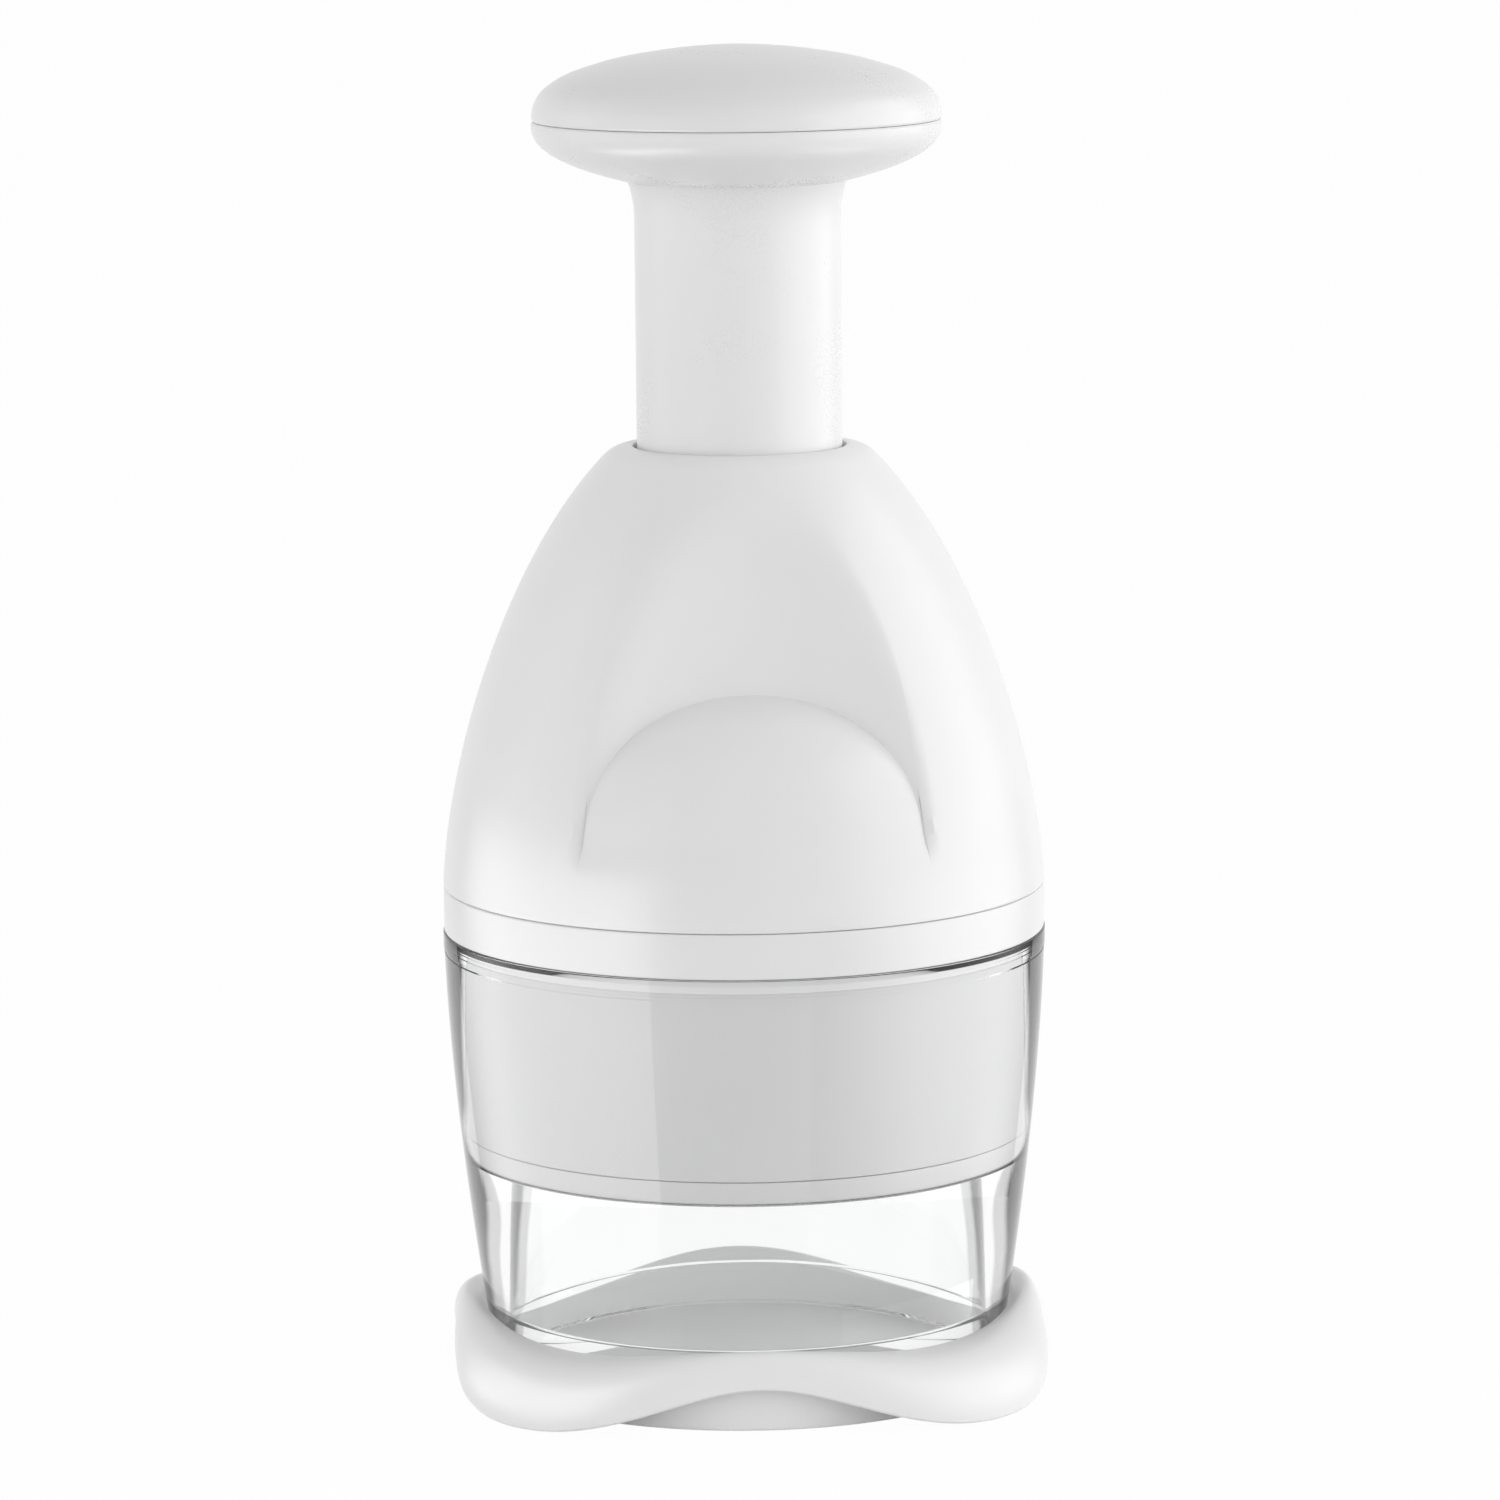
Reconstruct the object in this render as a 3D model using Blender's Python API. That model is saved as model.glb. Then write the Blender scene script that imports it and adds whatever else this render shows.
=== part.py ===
"""A plunger food chopper: a sprung plunger drives zig-zag blades down a clear cup and turns them a step a press.

Metres, +Z up. The origin is on the axis at the underside of the foot pad, and the front faces -Y.
Every piece that turns or slides does so on the Z axis, where all the origins are.
"""

from math import cos, pi, radians, sin, tan

import bmesh
import bpy
from mathutils import Matrix, Vector

# Fits and fineness
GAP = 0.0003  # between pieces that touch
FIT = 0.00035  # between pieces that slide or turn in each other
OVERRUN = 0.0006  # how far a cutting tool passes the face that it cuts
WELD_DISTANCE = 0.0000003
SHARP_ANGLE = radians(30)
LARGE_STEPS = 32  # facets round the cup and the housings
BASE_STEPS = 40  # round the wavy base
SMALL_STEPS = 24  # round the knob, the tube and the mechanism
FINE_STEPS = 12  # round journals and small bores
PIN_STEPS = 8  # round pins, pegs and screws
FILLET_STEPS = 2

# Base
PAD_THICKNESS = 0.0024
PAD_INSET = 0.0048  # of the foot pad's edge in from the drum's
FLOOR_TOP = 0.0062
FLOOR_THICKNESS = 0.0020
DRUM_STEP = 0.0023  # of the drum out from the cup's foot
DRUM_WALL = 0.0018
PAD_RING_RADIUS = 0.0210
ARCH_STEP = 0.0062  # of the wavy skirt out from the cup's foot at the middle of its four arches
LOBE_STEP = 0.0076  # and from there out to the middle of its four lobes
BASE_ARCH_HEIGHT = 0.0080
BASE_EDGE_HEIGHT = 0.0012
BASE_EDGE_CHAMFER = 0.0003
BASE_WALL = 0.0018
RIM_ARCH_HEIGHT = 0.0142
RIM_LOBE_HEIGHT = 0.0112
RIM_LAND = 0.0008
BASE_LOBES = 4
ARCH_SHAPE_SHARE = 1.2  # how much narrower than a cosine the arches are
SKIRT_STEPS = 4
UNDER_SKIRT_STEPS = 3

# Cup
CUP_RIM_RADIUS = 0.0512
CUP_TAPER = 0.0072
CUP_TAPER_SHARE = 1.57  # how late the taper comes, 1 is a straight cone
CUP_WALL = 0.0039  # at the rim, outside the sleeve
LEDGE_WIDTH = 0.0070
CHAMBER_DEPTH = 0.0310
POCKET_DEPTH = 0.0395
CUP_LIP_HEIGHT = 0.0016
CUP_LIP = 0.0003
LEDGE_FILLET = 0.0018
CUP_FILLET = 0.0004
CUP_STEPS = 5

# Blade housing: the ring that shows and the sleeve inside the cup, one moulding
SLEEVE_WALL = 0.0020
BAND_HEIGHT = 0.0073
BAND_FILLET = 0.0005
FLANGE_REACH = 0.0032  # of the flange past the bayonet's hooks
FLANGE_THICKNESS = 0.0022

# Bell housing
BELL_INSET = 0.0002  # of the bell and the band in from the cup's rim
BELL_HEIGHT = 0.0743
BELL_CURVE_RISE = 0.0097  # from the bell's top to where its curve would meet the axis
BELL_CURVE_SHARE = 1.54
BELL_STEPS = 8
BELL_INSIDE_STEPS = 5
BELL_WALL = 0.0022
BELL_SHOULDER = 0.0012
BELL_NECK = 0.00064  # of the bell's upper edge out from its collar
SHELF_WIDTH = 0.0050
SHELF_THICKNESS = 0.0027
COLLAR_WALL = 0.0020
SCOOP_DEPTH_SHARE = 0.615  # how far in from the bell's foot to its neck the finger scoop's round floor is
SCOOP_RADIUS = 0.0600
SCOOP_LEAN_SHARE = 0.08  # how far in the floor goes on its way up
SCOOP_STEPS = 60  # all round the cylinder that cuts it
DOME_LOW = 0.0071  # the middle of the dome under the scoop, above the bell's foot
DOME_INSET = 0.0200  # and in from it
DOME_WIDTH = 0.0335  # half of it
DOME_DEPTH = 0.0196
DOME_HEIGHT = 0.0290
DOME_STEPS = 28
DOME_RISE_STEPS = 6
BUSH_WALL = 0.0018
BUSH_LENGTH = 0.0080

# Plunger
STROKE = 0.0400
KNOB_CLEARANCE = 0.0043  # under the knob at the end of its stroke
TUBE_RADIUS = 0.0173
TUBE_WALL = 0.0020
STOP_FLANGE = 0.0042
STOP_THICKNESS = 0.0025
STOP_WASHER = 0.0012
KNOB_RADIUS = 0.0344
KNOB_NECK = 0.0010
KNOB_NECK_HEIGHT = 0.0060
KNOB_SKIRT_HEIGHT = 0.0101
KNOB_CAP_HEIGHT = 0.0122
crown_shares = [
    (0, 1),
    (0.28, 0.958),
    (0.52, 0.86),
    (0.72, 0.72),
    (0.866, 0.56),
    (0.94, 0.42),
    (0.985, 0.22),
    (1, 0),
]  # of the knob's radius and of its cap's height, down the crown
shell_shares = [(0, 0), (0.02, 0.21), (0.09, 0.38), (0.24, 0.565), (0.50, 0.758), (0.75, 0.891), (1, 1)]
# of the way in to the neck and of the skirt's height, down the knob's lower shell
KNOB_WALL = 0.0022
KNOB_SPIGOT = 0.0030
PLUG_THICKNESS = 0.0040

# Mechanism
GUIDE_THICKNESS = 0.0022
SPINDLE_SIDE = 0.0080
SPINDLE_CORNER = 0.0008
SPINDLE_SHANK = 0.0044
JOURNAL_RADIUS = 0.0036
JOURNAL_LENGTH = 0.0095
CLIP_GROOVE = 0.0008
CLIP_THICKNESS = 0.0010
CLIP_OPENING = radians(80)
CLIP_STEPS = 12
WASHER_THICKNESS = 0.0010
TURN_PER_PRESS = radians(45)
NUT_RADIUS = 0.0121
NUT_HEIGHT = 0.0047
RATCHET_TEETH = 8
TOOTH_RISE_SHARE = 0.92  # of a tooth's length, the rest is its steep side
TOOTH_HEIGHT = 0.0014
NUT_PLAY = 0.0005
NUT_WALL = 0.0018
NUT_CAP_THICKNESS = 0.0018
SPRING_RADIUS = 0.0185
SPRING_WIRE = 0.0013
SPRING_TURNS = 7
SPRING_END_TURNS = 1
SPRING_POINTS = 9  # on one turn
SPRING_END_GAP = 0.0006
SPRING_WASHER_WIDTH = 0.0040
GUIDE_SCREWS = 4
SCREW_RADIUS = 0.0010
SCREW_HEAD_RADIUS = 0.0020
SCREW_LENGTH = 0.0044

# Bayonet between the bell's guide plate and the blade housing
BAYONETS = 3
BAYONET_TWIST = radians(25)
BAYONET_WIDTH = radians(10)
BAYONET_PLAY = radians(1.2)
BAYONET_SLOT_STEPS = 5
HOOK_STEPS = 2
HOOK_INSET = 0.0061  # of the hooks in from the sleeve's bore
HOOK_STEM = 0.0020
HOOK_REACH = 0.0030
HOOK_THICKNESS = 0.0023
HOOK_PLAY = 0.0005

# Blades, their carrier, the plate that wipes them and the ring at the sleeve's foot
BLADE_HEIGHT = 0.0160
BLADE_THICKNESS = 0.0010
BLADE_EDGE_HEIGHT = 0.0040
BLADE_EDGE = 0.0003
BLADE_PLAY = 0.0048  # between the blades' ends and the cup's wall
BLADE_NEAR = 0.0070  # from the axis to the inner folds
BLADE_FAR_SHARE = 0.738  # of half a blade's span, to the outer folds
BLADE_FOLDS = 6
BLADE_FLOOR_GAP = 0.0008
CARRIER_PLAY = 0.0023  # to the cup's wall
CARRIER_THICKNESS = 0.0040
CARRIER_BOSS = 0.0080
CARRIER_BOSS_HEIGHT = 0.0080
CARRIER_GROOVE = 0.0015
PIN_RADIUS = 0.0012
WIPER_PLAY = 0.0009  # to the cup's wall
WIPER_THICKNESS = 0.0020
WIPER_RISE = 0.0005  # of the plate above the blades' edges at rest
WIPER_SLOT_FIT = 0.0006
PEG_DISTANCE = 0.0180  # from the axis
PEG_RADIUS = 0.0020
PEG_HEAD_RADIUS = 0.0029
PEG_HEAD_HEIGHT = 0.0015
RING_RIM_HEIGHT = 0.0038
RING_SKIRT_HEIGHT = 0.0064
RING_WALL = 0.0018
RING_BEAD = 0.0006
RING_BEAD_HEIGHT = 0.0010

# Heights above the table that follow from the sizes above
cup_low = FLOOR_TOP + GAP
ledge_height = cup_low + CHAMBER_DEPTH
cup_high = ledge_height + POCKET_DEPTH
band_low = cup_high + GAP
band_high = band_low + BAND_HEIGHT
bell_low = band_high + GAP
bell_high = bell_low + BELL_HEIGHT
knob_low = bell_high + STROKE + KNOB_CLEARANCE
knob_seam = knob_low + KNOB_SKIRT_HEIGHT
guide_low = bell_low
guide_high = guide_low + GUIDE_THICKNESS
nut_low = guide_high + GAP
nut_high = nut_low + NUT_HEIGHT
nut_cap_low = nut_high + NUT_PLAY + TOOTH_HEIGHT
bush_high = bell_high - BELL_WALL + BELL_SHOULDER / 2
bush_low = bush_high - BUSH_LENGTH
stop_washer_low = bush_low - GAP - STOP_WASHER
stop_high = stop_washer_low - GAP
tube_low = stop_high - STOP_THICKNESS
blade_low = FLOOR_TOP + BLADE_FLOOR_GAP + STROKE
blade_high = blade_low + BLADE_HEIGHT
wiper_low = blade_low + WIPER_RISE
wiper_high = wiper_low + WIPER_THICKNESS
ring_low = ledge_height + GAP
ring_rim_high = ring_low + RING_RIM_HEIGHT
ring_high = ring_rim_high + RING_SKIRT_HEIGHT
sleeve_low = ring_rim_high + GAP
carrier_low = blade_high + GAP - CARRIER_GROOVE
carrier_high = carrier_low + CARRIER_THICKNESS
boss_high = carrier_high + CARRIER_BOSS_HEIGHT
pin_height = carrier_high + CARRIER_BOSS_HEIGHT / 2
flange_high = band_high
flange_low = flange_high - FLANGE_THICKNESS

# Radii that follow from the cup's rim and the sizes above
bell_radius = CUP_RIM_RADIUS - BELL_INSET
sleeve_radius = CUP_RIM_RADIUS - CUP_WALL
sleeve_bore = sleeve_radius - SLEEVE_WALL
chamber_radius = sleeve_radius - LEDGE_WIDTH
cup_foot_radius = CUP_RIM_RADIUS - CUP_TAPER
drum_radius = cup_foot_radius + DRUM_STEP
pad_radius = drum_radius - PAD_INSET
arch_radius = cup_foot_radius + ARCH_STEP
lobe_radius = arch_radius + LOBE_STEP
hook_radius = sleeve_bore - HOOK_INSET
flange_bore = hook_radius - FLANGE_REACH
carrier_radius = chamber_radius - CARRIER_PLAY
wiper_radius = chamber_radius - WIPER_PLAY
blade_span = chamber_radius - BLADE_PLAY  # half of it
blade_far = blade_span * BLADE_FAR_SHARE
tube_bore = TUBE_RADIUS - TUBE_WALL
bush_bore = TUBE_RADIUS + FIT
bush_radius = bush_bore + BUSH_WALL
collar_bore = bush_radius + GAP
collar_radius = collar_bore + COLLAR_WALL
bell_neck = collar_radius + BELL_NECK
scoop_nearest = bell_radius - (bell_radius - bell_neck) * SCOOP_DEPTH_SHARE
neck_radius = TUBE_RADIUS + KNOB_NECK
ring_skirt = sleeve_bore - FIT
nut_housing_bore = NUT_RADIUS + FIT
nut_housing_radius = nut_housing_bore + NUT_WALL
spindle_reach = SPINDLE_SIDE / 2 ** 0.5


def clear_scene():
    """Start from nothing, whatever file this runs in."""
    for thing in list(bpy.data.objects):
        bpy.data.objects.remove(thing, do_unlink=True)


def make_material(name, color, roughness, metallic=0.0, transmission=0.0):
    material = bpy.data.materials.new(name)
    material.use_nodes = True
    shader = material.node_tree.nodes["Principled BSDF"]
    shader.inputs["Base Color"].default_value = (*color, 1.0)
    shader.inputs["Roughness"].default_value = roughness
    shader.inputs["Metallic"].default_value = metallic
    shader.inputs["Transmission Weight"].default_value = transmission
    return material


def add_object(name, mesh_builder, material=None):
    """An object from a bmesh, with its faces out and its round faces smooth."""
    bmesh.ops.recalc_face_normals(mesh_builder, faces=mesh_builder.faces)
    mesh = bpy.data.meshes.new(name)
    mesh_builder.to_mesh(mesh)
    mesh_builder.free()
    thing = bpy.data.objects.new(name, mesh)
    bpy.context.scene.collection.objects.link(thing)
    if material:
        mesh.materials.append(material)
    return thing


def combine(target, tool, operation):
    """Cut or join by a second solid, which is used up."""
    modifier = target.modifiers.new(operation.lower(), "BOOLEAN")
    modifier.operation = operation
    modifier.object = tool
    graph = bpy.context.evaluated_depsgraph_get()
    result = bpy.data.meshes.new_from_object(target.evaluated_get(graph))
    target.modifiers.clear()
    result.name = target.name
    target.data = result
    bpy.data.objects.remove(tool, do_unlink=True)
    return target


def cut(target, tool):
    return combine(target, tool, "DIFFERENCE")


def unite(target, tool):
    return combine(target, tool, "UNION")


def rounded(corners, steps=FILLET_STEPS):
    """The points of a closed outline with corners (radius, height, fillet)."""
    points = []
    for index, (across, height, fillet) in enumerate(corners):
        corner = Vector((across, height))
        if not fillet:
            points.append(tuple(corner))
            continue
        back = (Vector(corners[index - 1][:2]) - corner).normalized()
        ahead = (Vector(corners[(index + 1) % len(corners)][:2]) - corner).normalized()
        half = back.angle(ahead) / 2
        centre = corner + (back + ahead).normalized() * (fillet / sin(half))
        start = corner + back * (fillet / tan(half)) - centre
        end = corner + ahead * (fillet / tan(half)) - centre
        for step in range(steps + 1):
            spoke = start.slerp(end, step / steps).normalized() * fillet
            points.append(tuple(centre + spoke))
    return points


def turned(name, outline, steps, material=None):
    """A solid turned about Z from points (radius, height), with flats towards X and Y.

    An outline that meets the axis starts and ends on it.
    """
    solid = bmesh.new()
    start = pi / steps
    corners = [solid.verts.new((across * cos(start), across * sin(start), height)) for across, height in outline]
    for first, second in zip(corners, corners[1:]):
        solid.edges.new((first, second))
    if outline[0][0] > 0:
        solid.edges.new((corners[-1], corners[0]))
    bmesh.ops.spin(
        solid,
        geom=solid.verts[:] + solid.edges[:],
        cent=(0, 0, 0),
        axis=(0, 0, 1),
        angle=2 * pi,
        steps=steps,
        use_merge=True,
    )
    bmesh.ops.remove_doubles(solid, verts=solid.verts, dist=WELD_DISTANCE)
    return add_object(name, solid, material)


def swept_round(name, outline_at, angles, material=None):
    """A solid round Z whose outline changes with the angle. A point on the axis is shared by all of them."""
    solid = bmesh.new()
    rings = []
    poles = {}
    for angle in angles:
        ring = []
        for index, (across, height) in enumerate(outline_at(angle)):
            if across == 0:
                poles[index] = poles.get(index) or solid.verts.new((0, 0, height))
                ring.append(poles[index])
            else:
                ring.append(solid.verts.new((across * cos(angle), across * sin(angle), height)))
        rings.append(ring)
    count = len(rings[0])
    for ring, following in zip(rings, rings[1:] + rings[:1]):
        for index in range(count):
            after = (index + 1) % count
            corners = [ring[index], ring[after], following[after], following[index]]
            unique = [corner for place, corner in enumerate(corners) if corner not in corners[:place]]
            if len(unique) > 2:
                solid.faces.new(unique)
    return add_object(name, solid, material)


def lofted(name, sections, material=None):
    """A solid through closed sections of like points, closed by a face at each end."""
    solid = bmesh.new()
    rings = [[solid.verts.new(point) for point in section] for section in sections]
    for lower, upper in zip(rings, rings[1:]):
        for index, point in enumerate(lower):
            after = (index + 1) % len(lower)
            solid.faces.new((point, lower[after], upper[after], upper[index]))
    solid.faces.new(rings[0])
    solid.faces.new(rings[-1])
    return add_object(name, solid, material)


def stepped_bar(name, levels, steps, place=(0, 0), material=None):
    """An upright bar from levels (radius, height), with flats towards X and Y."""
    turns = [2 * pi * (step + 0.5) / steps for step in range(steps)]
    rings = []
    for radius, height in levels:
        rings.append([(place[0] + radius * cos(a), place[1] + radius * sin(a), height) for a in turns])
    return lofted(name, rings, material)


def arc_solid(name, outline, start, end, steps, material=None):
    """A section of points (radius, height) carried round Z from one angle to another."""
    sections = []
    for step in range(steps + 1):
        angle = start + (end - start) * step / steps
        sections.append([(across * cos(angle), across * sin(angle), height) for across, height in outline])
    return lofted(name, sections, material)


def block_outline(inner, outer, low, high):
    """A rectangle between two radii and two heights."""
    return [(inner, low), (outer, low), (outer, high), (inner, high)]


def base_wave(angle):
    """1 at the middle of an arch, 0 at the middle of a lobe."""
    return (1 + cos(BASE_LOBES * angle)) / 2


def base_outline(angle):
    """Half a section through the base at an angle, from the axis round to the axis."""
    wave = base_wave(angle)
    skirt_radius = lobe_radius + (arch_radius - lobe_radius) * wave
    skirt_low = GAP + (BASE_ARCH_HEIGHT - GAP) * wave ** ARCH_SHAPE_SHARE
    edge_high = skirt_low + BASE_EDGE_HEIGHT
    rim_high = RIM_LOBE_HEIGHT + (RIM_ARCH_HEIGHT - RIM_LOBE_HEIGHT) * wave
    drum_bore = drum_radius - DRUM_WALL
    rim_bore = cup_radius_at(rim_high) + FIT
    pad_seat = PAD_THICKNESS + GAP
    under_floor = FLOOR_TOP - FLOOR_THICKNESS
    points = [
        (0, FLOOR_TOP),
        (cup_radius_at(cup_low) + FIT, FLOOR_TOP),
        (rim_bore, rim_high - RIM_LAND / 2),
        (rim_bore + RIM_LAND / 2, rim_high),
    ]
    rim_out = rim_bore + RIM_LAND
    for step in range(1, SKIRT_STEPS + 1):
        turn = pi / 2 * step / SKIRT_STEPS
        across = rim_out + (skirt_radius - rim_out) * sin(turn)
        points.append((across, edge_high + (rim_high - edge_high) * cos(turn)))
    inner = skirt_radius - BASE_WALL
    roof = rim_high - BASE_WALL
    roof_drop = roof - edge_high
    points += [(skirt_radius - BASE_EDGE_CHAMFER, skirt_low), (inner, skirt_low)]
    for step in range(UNDER_SKIRT_STEPS - 1, 0, -1):
        turn = pi / 2 * step / UNDER_SKIRT_STEPS
        across = drum_radius + (inner - drum_radius) * sin(turn)
        points.append((across, edge_high + roof_drop * cos(turn)))
    points += [
        (drum_radius, roof),
        (drum_radius, GAP),
        (pad_radius + GAP, GAP),
        (pad_radius + GAP, pad_seat),
        (pad_radius - DRUM_WALL, pad_seat),
        (pad_radius - DRUM_WALL, under_floor),
        (PAD_RING_RADIUS + DRUM_WALL, under_floor),
        (PAD_RING_RADIUS + DRUM_WALL, pad_seat),
        (PAD_RING_RADIUS, pad_seat),
        (PAD_RING_RADIUS, under_floor),
        (0, under_floor),
    ]
    return points


def make_base(material):
    angles = [2 * pi * step / BASE_STEPS for step in range(BASE_STEPS)]
    return swept_round("base_cover", base_outline, angles, material)


def make_foot_pad(material):
    corners = [(0, 0), (pad_radius, 0), (pad_radius, PAD_THICKNESS), (0, PAD_THICKNESS)]
    return turned("foot_pad", corners, LARGE_STEPS, material)


def cup_radius_at(height):
    """The cup's outside, which tapers faster towards the bottom."""
    depth_share = (cup_high - height) / (cup_high - cup_low)
    return CUP_RIM_RADIUS - CUP_TAPER * depth_share ** CUP_TAPER_SHARE


def make_cup(material):
    """A thick clear wall with a ledge that the sleeve stands on."""
    lip_low = cup_high - CUP_LIP_HEIGHT
    pocket_radius = sleeve_radius + FIT
    lip = CUP_RIM_RADIUS + CUP_LIP
    outline = [(cup_radius_at(cup_low), cup_low)]
    for step in range(1, CUP_STEPS):
        height = cup_low + (lip_low - cup_low) * step / CUP_STEPS
        outline.append((cup_radius_at(height), height))
    outline += [(cup_radius_at(lip_low), lip_low), (lip, lip_low + CUP_LIP)]
    rim = rounded(
        [
            (lip, lip_low, 0),
            (lip, cup_high, CUP_FILLET),
            (pocket_radius, cup_high, CUP_FILLET),
            (pocket_radius, ledge_height, 0),
            (chamber_radius, ledge_height, LEDGE_FILLET),
            (chamber_radius, cup_low, 0),
        ]
    )
    return turned("clear_cup", outline + rim[1:], LARGE_STEPS, material)


def make_blade_housing(material):
    """The visible ring, the sleeve below it and the inner flange that the bayonet hooks hold."""
    groove_low = ring_high - RING_BEAD_HEIGHT * 2 - GAP
    groove_high = ring_high + GAP
    groove = sleeve_bore + RING_BEAD
    outline = rounded(
        [
            (bell_radius, band_low, BAND_FILLET),
            (bell_radius, band_high, BAND_FILLET),
            (flange_bore, flange_high, 0),
            (flange_bore, flange_low, 0),
            (sleeve_bore, flange_low, 0),
            (sleeve_bore, groove_high + RING_BEAD, 0),
            (groove, groove_high, 0),
            (groove, groove_low, 0),
            (sleeve_bore, groove_low - RING_BEAD, 0),
            (sleeve_bore, sleeve_low, 0),
            (sleeve_radius, sleeve_low, 0),
            (sleeve_radius, band_low, 0),
        ]
    )
    housing = turned("blade_housing", outline, LARGE_STEPS, material)
    for index in range(BAYONETS):
        start = 2 * pi * index / BAYONETS - BAYONET_WIDTH / 2 - BAYONET_PLAY
        end = start + BAYONET_WIDTH + BAYONET_TWIST + 2 * BAYONET_PLAY
        entry = start + BAYONET_TWIST
        low, high = flange_low - OVERRUN, flange_high + OVERRUN
        stem_out = hook_radius + HOOK_STEM + FIT
        slot = block_outline(hook_radius - FIT, stem_out, low, high)
        cut(housing, arc_solid("slot", slot, start, end, BAYONET_SLOT_STEPS))
        window = block_outline(hook_radius, stem_out + HOOK_REACH, low - OVERRUN, high + OVERRUN)
        cut(housing, arc_solid("window", window, entry, end - BAYONET_PLAY / 2, HOOK_STEPS))
    return housing


def bell_shape_at(height):
    """1 at the bell's foot, falling to 0 where its curve would meet the axis."""
    rise_share = max(0, height - bell_low) / (BELL_HEIGHT + BELL_CURVE_RISE)
    return (1 - rise_share ** BELL_CURVE_SHARE) ** 0.5


def bell_radius_at(height):
    """The bell's outside, from its foot in to the edge round its collar."""
    last = bell_shape_at(bell_high - BELL_SHOULDER)
    return bell_neck + (bell_radius - bell_neck) * (bell_shape_at(height) - last) / (1 - last)


def bell_curve(low, high, inset, steps):
    """Points up the bell, moved in from its outside along the radius and the height alike."""
    points = []
    for step in range(steps + 1):
        height = low + (high - low) * step / steps
        points.append((bell_radius_at(height + inset / 2) - inset, height))
    return points


def dome_solid(side, inset):
    """The dome that stays standing under a scoop: half an upright ellipsoid."""
    middle = bell_low + DOME_LOW
    wide, deep, tall = (half - inset for half in (DOME_WIDTH, DOME_DEPTH, DOME_HEIGHT))

    def outline(angle):
        reach = ((cos(angle) / wide) ** 2 + (sin(angle) / deep) ** 2) ** -0.5
        points = [(0, middle - inset - 2 * OVERRUN), (reach, middle - inset - 2 * OVERRUN)]
        for step in range(DOME_RISE_STEPS):
            turn = pi / 2 * step / DOME_RISE_STEPS
            points.append((reach * cos(turn), middle + tall * sin(turn)))
        return points + [(0, middle + tall)]

    angles = [2 * pi * (step + 0.5) / DOME_STEPS for step in range(DOME_STEPS)]
    dome = swept_round("dome", outline, angles)
    dome.data.transform(Matrix.Translation((0, side * (bell_radius - DOME_INSET), 0)))
    return dome


def scoop_tool(side, inset):
    """What the finger scoop takes from the bell's front (-1) or back (1), or from its inside, a wall further in.

    It is a leaning cylinder beside the bell, less the dome that stays standing under it.
    """
    middle = bell_low + DOME_LOW
    rings = []
    for height in (middle - inset, bell_high + OVERRUN):
        away = scoop_nearest + SCOOP_RADIUS - SCOOP_LEAN_SHARE * (height - middle)
        turns = [2 * pi * (step + 0.5) / SCOOP_STEPS for step in range(SCOOP_STEPS)]
        radius = SCOOP_RADIUS + inset
        rings.append([(radius * cos(a), side * away + radius * sin(a), height) for a in turns])
    return cut(lofted("scoop", rings), dome_solid(side, inset))


def make_bell(material):
    """A hollow bell with a shelf for the guide plate's screws, a collar for the bush and two finger scoops."""
    top_low = bell_high - BELL_SHOULDER
    outside = [(0, bell_low)] + bell_curve(bell_low, top_low, 0, BELL_STEPS)
    outside += [(bell_radius_at(top_low) - BELL_SHOULDER, bell_high), (0, bell_high)]
    bell = turned("bell_housing", outside, LARGE_STEPS, material)
    shelf_low = guide_high + GAP
    shelf_high = shelf_low + SHELF_THICKNESS
    shelf_bore = bell_radius - BELL_WALL - SHELF_WIDTH
    roof = bell_high - 2 * BELL_WALL
    start = bell_low - 2 * OVERRUN
    inside = [(0, start)] + bell_curve(start, shelf_low, BELL_WALL, 1)
    inside += [(shelf_bore, shelf_low), (shelf_bore, shelf_high)]
    inside += bell_curve(shelf_high, roof, BELL_WALL, BELL_INSIDE_STEPS)
    mouth = collar_bore - BUSH_WALL
    inside += [
        (collar_radius, roof),
        (collar_radius, bush_low),
        (collar_bore, bush_low),
        (collar_bore, bush_high + GAP),
        (mouth, bush_high + GAP),
        (mouth, bell_high + OVERRUN),
        (0, bell_high + OVERRUN),
    ]
    hollow = turned("hollow", inside, LARGE_STEPS)
    for side in (-1, 1):
        cut(bell, scoop_tool(side, 0))
        cut(hollow, scoop_tool(side, BELL_WALL))
    cut(bell, hollow)
    pilot = SCREW_RADIUS + FIT
    for place in guide_screw_places():
        levels = [(pilot, guide_high), (pilot, guide_high + SCREW_LENGTH)]
        cut(bell, stepped_bar("pilot", levels, PIN_STEPS, place))
    return bell


def guide_screw_places():
    """Round the guide plate's rim, under the bell's inner shelf."""
    across = bell_radius - BELL_WALL - SHELF_WIDTH / 2
    turns = [pi / GUIDE_SCREWS + 2 * pi * index / GUIDE_SCREWS for index in range(GUIDE_SCREWS)]
    return [(across * cos(turn), across * sin(turn)) for turn in turns]


def make_bush(material):
    outline = block_outline(bush_bore, bush_radius, bush_low, bush_high)
    return turned("collar_bush", outline, SMALL_STEPS, material)


def crown_curve(radius, low, height):
    """Points from the axis down the knob's crown."""
    return [(radius * across, low + height * rise) for across, rise in crown_shares]


def shell_curve(radius, seam, height):
    """Points from the knob's seam down its lower shell to the neck."""
    return [(radius - (radius - neck_radius) * inward, seam - height * down) for inward, down in shell_shares]


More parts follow.
